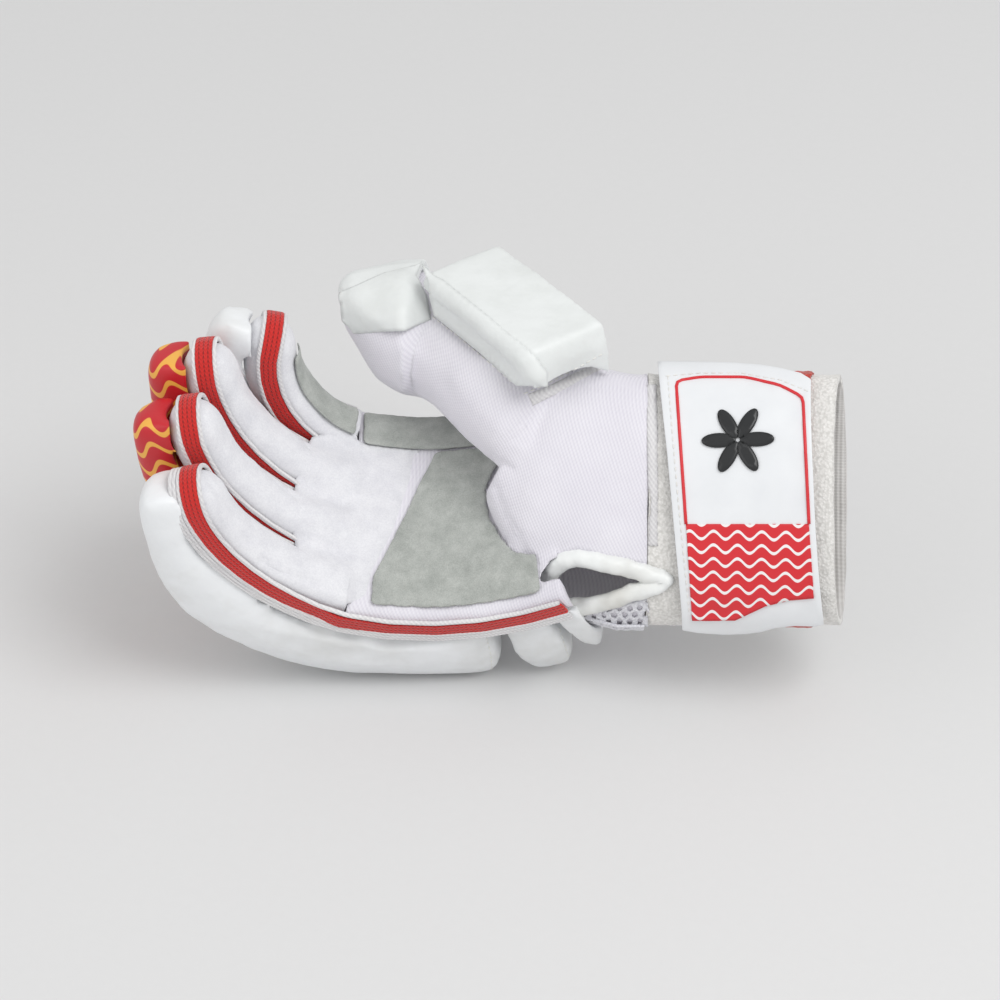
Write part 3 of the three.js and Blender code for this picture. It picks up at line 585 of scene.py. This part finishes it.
def stitch_row(line, lift, length=2.0 * MM, gap=0.9 * MM, radius=0.28 * MM):
    """Short rounded stitches along a line of points, lifted off its surface."""
    bm = bmesh.new()
    path = [spot + normal * lift for spot, normal in line]
    travelled, due = 0.0, 0.0
    for here, ahead in zip(path, path[1:]):
        step = ahead - here
        while step.length and travelled + step.length >= due:
            centre = here + step.normalized() * (due - travelled)
            turn = step.to_track_quat("Z", "Y").to_matrix().to_4x4()
            size = Matrix.Diagonal((radius, radius, length / 2, 1))
            bmesh.ops.create_uvsphere(bm, u_segments=6, v_segments=4, radius=1,
                                      matrix=Matrix.Translation(centre) @ turn @ size)
            due += length + gap
        travelled += step.length
    return bm


print("line helpers ready")

# %% [markdown]
# The hand is one seamless knit bag: palm, wrist and thumb. It is refined and smoothed
# as a whole. The ball of the thumb and the bend below it are pressed in where the
# photograph shows a soft line.

# %% Knit hand
CLOTH_EDGE = 3.2 * MM
THENAR_LINE = [(490, 458), (493, 480), (503, 512), (522, 548), (545, 582)]
SEAM_ARC = [(490, 459), (507, 441), (524, 426), (545, 404), (565, 387), (606, 371)]
THUMB_BEND = [(424, 345), (436, 362), (446, 384)]

bm = refine(cad_copy("hand_shell"), CLOTH_EDGE)
relax(bm, 7, keep_rims=True)
ruffle(bm, 22 * MM, 0.8 * MM, 3)
crease(bm, photo_line(THENAR_LINE, hand_tree), 1.6 * MM, 0.8 * MM)
crease(bm, photo_line(SEAM_ARC, hand_tree), 1.3 * MM, 0.7 * MM)
crease(bm, photo_line(THUMB_BEND, hand_tree), 5 * MM, 0.8 * MM)
knit_hand = dress(link_object("knit_hand", bm), "knit_cloth", [cotton_knit], "hand_shell")

# %% [markdown]
# The cuff is towelling outside and ribbed lining inside. Faces that look towards the
# middle of the opening are the lining.

# %% Cuff
bm = refine(cad_copy("cuff"), CLOTH_EDGE)
relax(bm, 4, keep_rims=True)
ruffle(bm, 9 * MM, 0.4 * MM, 5)
cuff_axis = sum((vert.co for vert in bm.verts), Vector()) / len(bm.verts)
bm.normal_update()
for face in bm.faces:
    inward = cuff_axis - face.calc_center_median()
    inward.x = 0
    face.material_index = 1 if face.normal.dot(inward) > 0 else 0
cuff_sleeve = dress(link_object("towelling_cuff", bm), "towelling",
                    [towelling, rib_lining], "cuff")

# %% [markdown]
# The vent has a rolled leather binding, puckered all along. Smoothing thins it, so it is
# swollen again afterwards.

# %% Vent binding
ROLL_SWELL = 1.6 * MM
bm = refine(cad_copy("vent_binding"), 1.5 * MM)
relax(bm, 4)
for vert in bm.verts:
    vert.co += vert.normal * ROLL_SWELL
ruffle(bm, 4.5 * MM, 0.8 * MM, 2)
dress(link_object("vent_roll", bm), "white_leather", [binding_leather], "vent_binding")

# %% [markdown]
# The palm side of each finger is one skin of soft sheepskin over the sleeve. The pleats
# at the knuckles come from the curl of the finger.

# %% Finger sleeves
PLEATS = {
    "pinky": [[(262, 560), (300, 578), (352, 592)], [(205, 476), (222, 500), (250, 540)]],
    "ring": [[(305, 520), (330, 535), (360, 550)], [(236, 430), (262, 468), (300, 500)]],
    "middle": [[(330, 475), (352, 488), (380, 500)], [(262, 380), (285, 420), (318, 455)]],
    "index": [[(345, 425), (372, 445), (402, 458)]],
}
for finger, lines in PLEATS.items():
    node = f"{finger}_sleeve"
    tree = tree_of(node)
    bm = refine(cad_copy(node), 2.2 * MM)
    relax(bm, 6, keep_rims=True)
    ruffle(bm, 12 * MM, 0.6 * MM, len(finger))
    for pixels in lines:
        crease(bm, photo_line(pixels, tree), 1.5 * MM, 0.9 * MM)
    dress(link_object(f"{finger}_sheepskin", bm), "knit_cloth", [sheepskin], node)

# %% [markdown]
# Each red strip is a swept band. Its cross sections are found again by walking out from
# one end, ring of points by ring of points. Their middles give the strip's own
# coordinates, which the rib pattern follows, and the lines of its two white lips. A set
# of points has no fixed order, so each ring is sorted, and every run gives one result. The
# little finger's strip has two more lips, towards the side pad.

# %% Red strips and their white lips
LIP_RADIUS = 0.95 * MM
LIP_OFFSET = 0.5 * MM
SIDE_LIPS = (2.2 * MM, 3.6 * MM)
END_LEAN = 0.6


def sections(bm, first):
    """The cross sections of a swept band, from the points of its first one."""
    bm.verts.index_update()
    seen = set(first)
    rings = [list(first)]
    while True:
        ahead = {edge.other_vert(vert) for vert in rings[-1] for edge in vert.link_edges} - seen
        if not ahead:
            return [[vert.co.copy() for vert in ring] for ring in rings]
        seen |= ahead
        rings.append(sorted(ahead, key=lambda vert: vert.index))


def strip_frames(rings):
    """The middle of each section, its wide direction and its half width."""
    frames = []
    last = None
    for ring in rings:
        middle = sum(ring, Vector()) / len(ring)
        far = sorted((a - b for a in ring for b in ring), key=lambda d: d.length)
        sides = [d for d in far if d.length > far[-1].length * 0.9]
        wide = sides[0]
        for side in sides[1:]:
            wide = wide + side if wide.dot(side) > 0 else wide - side
        wide.normalize()
        if wide.dot(last or UP) < 0:
            wide.negate()
        last = wide
        half = max(abs((point - middle).dot(wide)) for point in ring)
        frames.append((middle, wide, half))
    return frames


def map_strip(made, frames):
    """A UV map in metres: along the strip, and across it."""
    starts = [0.0]
    for (a, _, _), (b, _, _) in zip(frames, frames[1:]):
        starts.append(starts[-1] + (b - a).length)
    layer = made.data.uv_layers.new(name="strip")
    places = []
    for vert in made.data.vertices:
        best = (1, 0, 0)
        for (a, wide, _), (b, _, _), start in zip(frames, frames[1:], starts):
            step = b - a
            share = min(max((vert.co - a).dot(step) / step.length_squared, 0), 1)
            off = vert.co - a - step * share
            if off.length < best[0]:
                best = (off.length, start + share * step.length, off.dot(wide))
        places.append(best[1:])
    for loop in made.data.loops:
        layer.data[loop.index].uv = places[loop.vertex_index]


for finger in PLEATS:
    node = f"{finger}_gusset"
    bm = cad_copy(node)
    lean = 0 if finger == "pinky" else END_LEAN
    near_end = max(bm.verts, key=lambda v: v.co.x - lean * v.co.y)
    first = sorted(bm.verts, key=lambda v: (v.co - near_end.co).length)[:4]
    frames = strip_frames(sections(bm, first))
    bm = relax(refine(bm, 1.8 * MM), 2)
    strip = link_object(f"{finger}_red_strip", bm)
    map_strip(strip, frames)
    dress(strip, "red_knit", [red_rib], node)
    lips = []
    lip_places = [(-1, LIP_OFFSET), (1, LIP_OFFSET)]
    if finger == "pinky":
        lip_places += [(-1, offset) for offset in SIDE_LIPS]
    for hand, beyond in lip_places:
        edge = [spot + wide * hand * (half + beyond) for spot, wide, half in frames]
        lips.append(tube("lip", smoothed(edge), LIP_RADIUS))
    lip_piece = relax(refine(join(lips), 2.5 * MM), 1)
    dress(link_object(f"{finger}_strip_lips", lip_piece), "knit_cloth", [woven_tape])

# %% [markdown]
# The suede patches lie flat on the palm and the index finger, their edges turned under
# and stitched. The patch keeps its crisp outline, so it is smoothed only lightly.

# %% Suede patches
for node in ("palm_suede", "index_palm_suede", "index_finger_suede"):
    bm = relax(refine(cad_copy(node), 2.2 * MM), 3)
    ruffle(bm, 15 * MM, 0.5 * MM, len(node))
    dress(link_object(f"{node}_patch", bm), "grey_suede", [suede], node)

# %% [markdown]
# Some skins are sewn over more than one solid: the leather of the palm runs on into the
# fingers, and the thumb's padding has sides that reach down to a seam. Each starts as
# one flat face with the outline that the photograph shows, is split into small
# triangles, and every point is thrown onto the surface below. Its edge sinks in, and a
# point that fell into a gap between two pieces is lifted back to its neighbours.

# %% Skins cut to an outline
def eyed_tree(*objects):
    """What the camera can hit of some finished pieces."""
    graph = bpy.context.evaluated_depsgraph_get()
    whole = bmesh.new()
    for made in objects:
        whole.from_mesh(made.evaluated_get(graph).data)
    tree = BVHTree.FromBMesh(whole)
    whole.free()
    return tree


def to_line(point, start, end):
    """How far a point lies from a straight line between two others."""
    step = end - start
    share = min(max((point - start).dot(step) / step.length_squared, 0), 1)
    return (point - start - step * share).length


PIT_ROUNDS = 14
PIT_DEPTH = 0.4 * MM
SKIN_THICKNESS = 0.6 * MM
MESH_HOLE = 1.7 * MM


def skin_cut(outline, tree, lift, rim, spacing, sink=0.5 * MM, holes=(), rounds=4):
    """A skin with this outline in pixels, lying on a surface and curving down at its rim."""
    bm = bmesh.new()
    corners = [Vector(((x / IMAGE - 0.5) * FRAMING, (0.5 - y / IMAGE) * FRAMING, 0))
               for x, y in outline]
    bm.faces.new([bm.verts.new(corner) for corner in corners])
    refine(bm, spacing)
    if holes:
        pierced = [vert for vert in bm.verts
                   if any((vert.co - hole).length < MESH_HOLE / 2 for hole in holes)]
        bmesh.ops.delete(bm, geom=pierced, context="VERTS")
    missed = []
    for vert in bm.verts:
        edge = min(to_line(vert.co, a, b) for a, b in zip(corners, corners[1:] + corners[:1]))
        ray = (RIGHT * vert.co.x + UP * vert.co.y) / FRAMING * SENSOR / LENS - BACK
        spot, normal, _, _ = tree.ray_cast(eye, ray.normalized())
        if spot is None:
            missed.append(vert)
            continue
        rise = math.sqrt(min(edge / rim, 1)) if rim else 1
        if normal.dot(ray) > 0:
            normal.negate()
        vert.co = spot + normal * (lift * rise - sink)
    bmesh.ops.delete(bm, geom=missed, context="VERTS")
    for _ in range(PIT_ROUNDS):
        for vert in bm.verts:
            around = [edge.other_vert(vert).co.dot(BACK) for edge in vert.link_edges]
            hollow = sum(around) / max(len(around), 1) - vert.co.dot(BACK)
            if hollow > PIT_DEPTH:
                vert.co += BACK * hollow
    inside = [vert for vert in bm.verts if not vert.is_boundary]
    for _ in range(rounds):
        bmesh.ops.smooth_vert(bm, verts=inside, factor=0.5,
                              use_axis_x=True, use_axis_y=True, use_axis_z=True)
    bm.normal_update()
    if sum(face.normal.dot(BACK) for face in bm.faces) < 0:
        bmesh.ops.reverse_faces(bm, faces=bm.faces)
    bmesh.ops.solidify(bm, geom=bm.faces[:], thickness=SKIN_THICKNESS)
    return bm


PALM_OUTLINE = [(312, 438), (345, 428), (362, 442), (420, 449), (413, 484), (397, 532),
                (375, 573), (369, 603), (345, 604), (318, 590), (300, 560), (292, 528),
                (296, 480)]
finger_pieces = [bpy.data.objects[f"{finger}_{part}"]
                 for part in ("sheepskin", "red_strip", "strip_lips") for finger in PLEATS]
palm_ground = eyed_tree(knit_hand, *finger_pieces)
bm = skin_cut(PALM_OUTLINE, palm_ground, 1.5 * MM, 8 * MM, 2.0 * MM, rounds=9)
dress(link_object("palm_sheepskin", bm), "knit_cloth", [sheepskin])

# %% [markdown]
# Padding is stuffed leather: each pad starts from a slightly slimmer copy of its solid,
# remeshed into even squares, and is blown up like a cushion by Blender's cloth solver.
# The points then stop before they touch a neighbour, and none sinks below the table.
# The thumb's padding and the flap at the wrist are thin or crisp, and are only smoothed.

# %% Padded pieces
VOXEL = 2.6 * MM
SIDE_SLIMMER = 0.2 * MM
SLIMMER = 1.0 * MM
REACH = 2.6 * MM
NEIGHBOUR_GAP = 0.6 * MM
PRESSURE = 5
FRAMES = 20
THIN_EDGE = 2.4 * MM
TABLE_GAP = 0.05 * MM
STILL = 1e-7

LEATHER_PADS = {
    "pinky_side_pad": 0.8, "pinky_wrist_pad": 0.85, "pinky_wrist_flap": 0.3,
    "ring_back_pad": 0.9, "ring_knuckle_pad": 0.9,
    "middle_back_pad": 0.9, "middle_knuckle_pad": 0.9,
    "index_back_pad": 0.9, "index_knuckle_pad": 0.9, "index_middle_pad": 0.9,
    "index_tip_pad": 0.85, "thumb_tip_pad": 0.5, "thumb_guard": 0.9,
}
PRINTED_PADS = {
    "ring_middle_pad": 0.9, "ring_tip_pad": 0.85, "middle_middle_pad": 0.9,
    "middle_tip_pad": 0.85,
}
THIN_PADS = {"thumb_tip_pad", "pinky_wrist_flap", "thumb_guard"}


def bake_modifiers(made):
    """Keeps what an object's modifiers show, as its own mesh."""
    graph = bpy.context.evaluated_depsgraph_get()
    shown = bpy.data.meshes.new_from_object(made.evaluated_get(graph))
    made.modifiers.clear()
    old, made.data = made.data, shown
    bpy.data.meshes.remove(old)


def slim_copy(node):
    """A pad before the air: smoothed only, or remeshed and made slimmer."""
    if node in THIN_PADS:
        bm = relax(refine(cad_copy(node), THIN_EDGE), 4)
        return link_object(f"{node}_cushion", ruffle(bm, 14 * MM, 0.5 * MM, 4))
    made = link_object(f"{node}_cushion", cad_copy(node))
    shape = made.modifiers.new("even_squares", "REMESH")
    shape.mode = "VOXEL"
    shape.voxel_size = VOXEL
    bake_modifiers(made)
    bm = bmesh.new()
    bm.from_mesh(made.data)
    relax(bm, 5)
    for vert in bm.verts:
        vert.co -= vert.normal * (SIDE_SLIMMER if node == "pinky_side_pad" else SLIMMER)
    bm.to_mesh(made.data)
    bm.free()
    return made


def blow_up(cushions):
    """Runs the cloth solver on all the cushions at once, and returns where points end."""
    for made in cushions.values():
        air = made.modifiers.new("air", "CLOTH")
        air.settings.use_pressure = True
        air.settings.uniform_pressure_force = PRESSURE
        air.settings.effector_weights.gravity = 0
        air.collision_settings.use_collision = False
    for number in range(1, FRAMES + 1):
        bpy.context.scene.frame_set(number)
    graph = bpy.context.evaluated_depsgraph_get()
    ends = {}
    for node, made in cushions.items():
        ends[node] = [vert.co.copy() for vert in made.evaluated_get(graph).data.vertices]
    for made in cushions.values():
        made.modifiers.clear()
    bpy.context.scene.frame_set(1)
    return ends


def settle_points(made, ends, node):
    """Moves each point towards its end, as far as the reach and the neighbours let it."""
    around = tree_of(*(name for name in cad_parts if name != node))
    for vert, end in zip(made.data.vertices, ends):
        move = end - vert.co
        if move.length < STILL:
            continue
        length = min(move.length, REACH)
        hit = around.ray_cast(vert.co, move.normalized(), length + NEIGHBOUR_GAP)
        if hit[0]:
            length = max(hit[3] - NEIGHBOUR_GAP, 0)
        vert.co += move.normalized() * length
        vert.co.z = max(vert.co.z, TABLE_GAP)


cushions = {node: slim_copy(node) for node in (*LEATHER_PADS, *PRINTED_PADS)}
print("points in the cushions:", sum(len(made.data.vertices) for made in cushions.values()))
blown = blow_up({node: made for node, made in cushions.items() if node not in THIN_PADS})
for node, ends in blown.items():
    settle_points(cushions[node], ends, node)
print("cushions blown up:", len(blown))

# %% [markdown]
# After the air come the marks of the needle, which a remesh would have rubbed out:
# gathers where the leather is drawn into a seam, and the two seams at the end of the
# side pad.

# %% Gathers and seams in the padding
SIDE_GATHERS = [
    [(236, 552), (246, 575), (262, 590)], [(262, 582), (270, 600), (288, 612)],
    [(300, 606), (306, 622), (322, 634)], [(345, 618), (350, 634), (362, 648)],
    [(392, 630), (396, 646), (404, 660)],
]
SIDE_SEAMS = [[(480, 628), (486, 655), (488, 682)], [(492, 626), (499, 655), (500, 680)]]
THUMB_TUCKS = [[(341, 300), (347, 318), (353, 330)], [(346, 296), (352, 312), (360, 326)]]
PRESSED = [
    ("pinky_side_pad", SIDE_GATHERS, 2.6 * MM, 1.3 * MM),
    ("pinky_side_pad", SIDE_SEAMS, 1.6 * MM, 1.1 * MM),
    ("thumb_tip_pad", THUMB_TUCKS, 1.6 * MM, 1.0 * MM),
]
for node, lines, width, depth in PRESSED:
    tree = tree_of(node)
    mesh = cushions[node].data
    bm = bmesh.new()
    bm.from_mesh(mesh)
    for pixels in lines:
        crease(bm, photo_line(pixels, tree), width, depth)
    bm.to_mesh(mesh)
    bm.free()
    print(node, "lines pressed in:", len(lines))

# %% [markdown]
# Two short strokes of a blue pen are left on the leather of the side pad. They are spots
# in that pad's own leather, at the places where the photograph shows them.

# %% Finish the padding
PEN_MARKS = [(237, 578), (248, 592)]
PEN_WIDTH = 1.6 * MM
PEN_BLUE = "#5a6fa8"
side_tree = tree_of("pinky_side_pad")
found = [photo_line([(x, y), (x + 1, y)], side_tree) for x, y in PEN_MARKS]
spots = [line[0][0] for line in found if line]
marked_leather = coated_leather("coated_leather_marked", "#eef0f2", "#dcdddc",
                                marks=[(spot, PEN_WIDTH, PEN_BLUE) for spot in spots])
for node, fill in {**LEATHER_PADS, **PRINTED_PADS}.items():
    made = cushions[node]
    made.data.shade_smooth()
    softer = made.modifiers.new("softer", "SUBSURF")
    softer.levels = softer.render_levels = 1
    leather = finger_print if node in PRINTED_PADS else white_leather
    if node == "pinky_side_pad":
        leather = marked_leather
    if node.startswith("thumb"):
        leather = guard_leather
    slot = "printed_leather" if node in PRINTED_PADS else "white_leather"
    dress(made, slot, [leather], node)

# %% [markdown]
# The sides of the thumb's padding reach down to a row of stitches on the knit.

# %% Sides of the thumb's padding
TIP_SIDE = [(338, 292), (341, 320), (353, 335), (381, 332), (406, 331), (431, 319),
            (428, 296), (418, 277), (424, 262), (385, 272)]
GUARD_SIDE = [(424, 270), (434, 316), (455, 333), (480, 353), (516, 386), (548, 388),
              (548, 372), (532, 352), (485, 312), (442, 278)]
thumb_ground = eyed_tree(knit_hand, cushions["thumb_tip_pad"], cushions["thumb_guard"])
SIDES = [("thumb_tip_side", TIP_SIDE, 3.2 * MM), ("thumb_guard_side", GUARD_SIDE, 3.6 * MM)]
for name, outline, lift in SIDES:
    bm = skin_cut(outline, thumb_ground, lift, 4 * MM, 2.0 * MM)
    made = dress(link_object(name, bm), "white_leather", [guard_leather])

# %% [markdown]
# The strap's panel is a flexible plate. Its outer face is inset by a real width, and
# the ring that this leaves is raised into the edge. A red line runs inside it, and the
# part nearest the table is a printed film with even white waves on red.

# %% Strap panel
EDGE_WIDTH = 1.9 * MM
EDGE_HEIGHT = 0.5 * MM
EDGE_ROUND = 0.35 * MM
LINE_RADIUS = 0.65 * MM
RED_LINE = [(686, 524), (676, 381), (700, 377), (745, 377), (780, 385), (803, 397), (809, 524)]
PRINT_OUTLINE = [(686, 524), (809, 524), (814, 598), (790, 600), (765, 606), (735, 620),
                 (692, 620)]


def faces_out(face):
    """Whether a face looks away from the middle of the cuff."""
    away = face.calc_center_median() - cuff_axis
    away.x = 0
    return face.normal.dot(away.normalized()) > 0.5


bm = cad_copy("strap_panel")
bm.normal_update()
outer = [face for face in bm.faces if faces_out(face)]
edge = bmesh.ops.inset_region(bm, faces=outer, thickness=EDGE_WIDTH, use_even_offset=True,
                              use_boundary=True)
raised = {vert for face in edge["faces"] for vert in face.verts}
bm.normal_update()
for vert in raised:
    vert.co += vert.normal * EDGE_HEIGHT
plate = link_object("strap_plate_panel", bm)
rounding = plate.modifiers.new("rounding", "BEVEL")
rounding.width = EDGE_ROUND
rounding.segments = 2
rounding.limit_method = "ANGLE"
dress(plate, "strap_plate", [plate_white], "strap_panel")

panel_tree = eyed_tree(plate)
line = smoothed([spot for spot, _ in photo_line(RED_LINE, panel_tree, 2 * MM)])
bm = tube("line", line, LINE_RADIUS)
dress(link_object("panel_red_line", bm), "strap_plate", [plate_red])
bm = skin_cut(PRINT_OUTLINE, panel_tree, 0.45 * MM, 0, 2.0 * MM, sink=0)
dress(link_object("panel_wave_print", bm), "strap_plate", [plate_print])

# %% [markdown]
# The bare middle of the panel carries a plain black rosette of six petals, a common
# ornament drawn with a compass, raised a little like the moulded relief it stands for.

# %% Rosette
PETALS = 6
PETAL_LENGTH = 13 * MM
PETAL_WIDTH = 5.6 * MM
PETAL_HEIGHT = 0.7 * MM
PETAL_LIFT = 0.05 * MM
ROSETTE_AT = (738, 440)

petals = bmesh.new()
spot, out = photo_line([ROSETTE_AT, (ROSETTE_AT[0] + 1, ROSETTE_AT[1])], panel_tree)[0]
across = RIGHT - out * RIGHT.dot(out)
across.normalize()
upward = out.cross(across)
for i in range(PETALS):
    turn = Matrix.Rotation(2 * math.pi * i / PETALS, 4, "Z")
    shape = Matrix.Translation((PETAL_LENGTH * 0.56, 0, 0)) @ Matrix.Diagonal(
        (PETAL_LENGTH / 2, PETAL_WIDTH / 2, 1, 1))
    bmesh.ops.create_circle(petals, cap_ends=True, segments=32, radius=1, matrix=turn @ shape)
basis = Matrix((across, upward, out)).transposed().to_4x4()
bmesh.ops.transform(petals, matrix=Matrix.Translation(spot) @ basis, verts=petals.verts)
bmesh.ops.subdivide_edges(petals, edges=petals.edges, cuts=1)
bmesh.ops.triangulate(petals, faces=petals.faces)
refine(petals, 2.5 * MM)
for vert in petals.verts:
    hit = panel_tree.ray_cast(vert.co + out * 20 * MM, -out)
    if hit[0]:
        vert.co = hit[0] + out * PETAL_LIFT
grown = bmesh.ops.extrude_face_region(petals, geom=petals.faces[:])
for item in grown["geom"]:
    if isinstance(item, bmesh.types.BMVert):
        item.co += out * PETAL_HEIGHT
bmesh.ops.recalc_face_normals(petals, faces=petals.faces)
dress(link_object("panel_rosette", petals), "strap_plate", [ink_black])

# %% [markdown]
# The rest of the fastening: the red loop tape that shows above and below the panel, the
# towelling band behind it, and the spacer mesh below the vent, whose solid is already
# right and only gets its finish.

# %% Tape, band and mesh
bm = relax(refine(cad_copy("loop_tape"), 2.5 * MM), 2)
ruffle(bm, 2.5 * MM, 0.35 * MM, 1)
dress(link_object("red_loop_tape", bm), "red_loop", [loop_pile], "loop_tape")
bm = relax(refine(cad_copy("strap_band"), 3 * MM), 3)
ruffle(bm, 6 * MM, 0.5 * MM, 1)
dress(link_object("elastic_band", bm), "towelling", [woven_tape], "strap_band")
mesh_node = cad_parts["mesh_panel"]
mesh_node.data.materials.clear()
mesh_node.data.materials.append(spacer_mesh)
print("mesh panel keeps its solid")

# %% [markdown]
# Stitches hold it all together. Rows of thread lie along the seams that the photograph
# shows, each row on the surface of the piece that it sews.

# %% Stitch rows
STITCH_LIFT = 0.1 * MM
THUMB_ROWS = [
    [(353, 330), (366, 327), (381, 324), (405, 319), (429, 313)],
    [(434, 318), (455, 334), (480, 355), (500, 372), (514, 384)],
    [(430, 312), (426, 296), (418, 278)],
    [(526, 393), (545, 385), (575, 369), (602, 354)],
]
PANEL_ROWS = [
    [(668, 376), (700, 373), (740, 373), (780, 380), (812, 393)],
    [(813, 396), (816, 440), (819, 500), (822, 560), (823, 600)],
    [(668, 378), (672, 430), (678, 500), (684, 560), (689, 612)],
]
SIDE_ROWS = [[(484, 628), (491, 655), (492, 682)], [(560, 630), (566, 650), (572, 664)]]

thumb_pieces = eyed_tree(cushions["thumb_guard"], cushions["thumb_tip_pad"], knit_hand)
side_pieces = eyed_tree(cushions["pinky_side_pad"], cushions["pinky_wrist_pad"])
sewn = [(thumb_pieces, THUMB_ROWS), (panel_tree, PANEL_ROWS), (side_pieces, SIDE_ROWS)]
rows = [stitch_row(photo_line(pixels, tree, 1 * MM), STITCH_LIFT)
        for tree, lines in sewn for pixels in lines]
dress(link_object("seam_stitches", join(rows)), "knit_cloth", [thread])

# %% [markdown]
# Below the vent the glove is vented again by a patch of spacer mesh with rows of oval
# holes. Two woven bands cover edges: one under the thumb's guard, and one where the
# knit meets the cuff.

# %% Mesh patch and cloth bands
HOLE_PITCH = 3.9 * MM
HOLE_ROW = HOLE_PITCH * 0.62
HOLES_FROM = (558, 607)
HOLE_ROWS = 4
HOLES_IN_ROW = 9
MESH_OUTLINE = [(576, 614), (594, 610), (612, 606), (646, 592), (648, 628), (618, 633),
                (590, 630)]
GUARD_BAND = [(528, 394), (548, 386), (578, 371), (607, 356), (609, 366), (580, 381),
              (551, 397), (533, 406)]
WRIST_BAND = [(647, 384), (657, 384), (658, 440), (658, 500), (658, 546), (648, 546),
              (648, 500), (647, 440)]
holes = []
for row in range(HOLE_ROWS):
    y = (0.5 - HOLES_FROM[1] / IMAGE) * FRAMING - row * HOLE_ROW
    for i in range(HOLES_IN_ROW):
        x = (HOLES_FROM[0] / IMAGE - 0.5) * FRAMING + (i + 0.5 * (row % 2)) * HOLE_PITCH
        holes.append(Vector((x, y, 0)))
ground = eyed_tree(knit_hand, cuff_sleeve)
bm = skin_cut(MESH_OUTLINE, ground, 1.0 * MM, 0, 0.8 * MM, sink=0, holes=holes)
dress(link_object("vent_mesh_patch", bm), "spacer_mesh", [spacer_mesh])
for name, outline in (("guard_band", GUARD_BAND), ("wrist_band", WRIST_BAND)):
    bm = skin_cut(outline, ground, 1.3 * MM, 1.5 * MM, 1.5 * MM, sink=0.2 * MM)
    dress(link_object(name, bm), "towelling", [woven_tape])

# %% [markdown]
# The glove lies on matt paper. The paper is part of the stage, not of the part.

# %% Floor
FLOOR_SIZE = 6
floor_bm = bmesh.new()
bmesh.ops.create_grid(floor_bm, x_segments=1, y_segments=1, size=FLOOR_SIZE / 2)
floor = link_object("floor", floor_bm)
paper, paper_shader, paper_place = start_finish("matt_paper", 0.95)
fibres = add_node(paper, "TexNoise", {"Vector": paper_place, "Scale": 1 / (4 * MM)})
paper_tone = add_node(paper, "Mix", {0: fibres.outputs[0], 6: linear("#dcdcdc"),
                                     7: linear("#dadada")}, data_type="RGBA")
paper.node_tree.links.new(paper_tone.outputs[2], paper_shader.inputs["Base Color"])
floor.data.materials.append(paper)
print("floor laid")
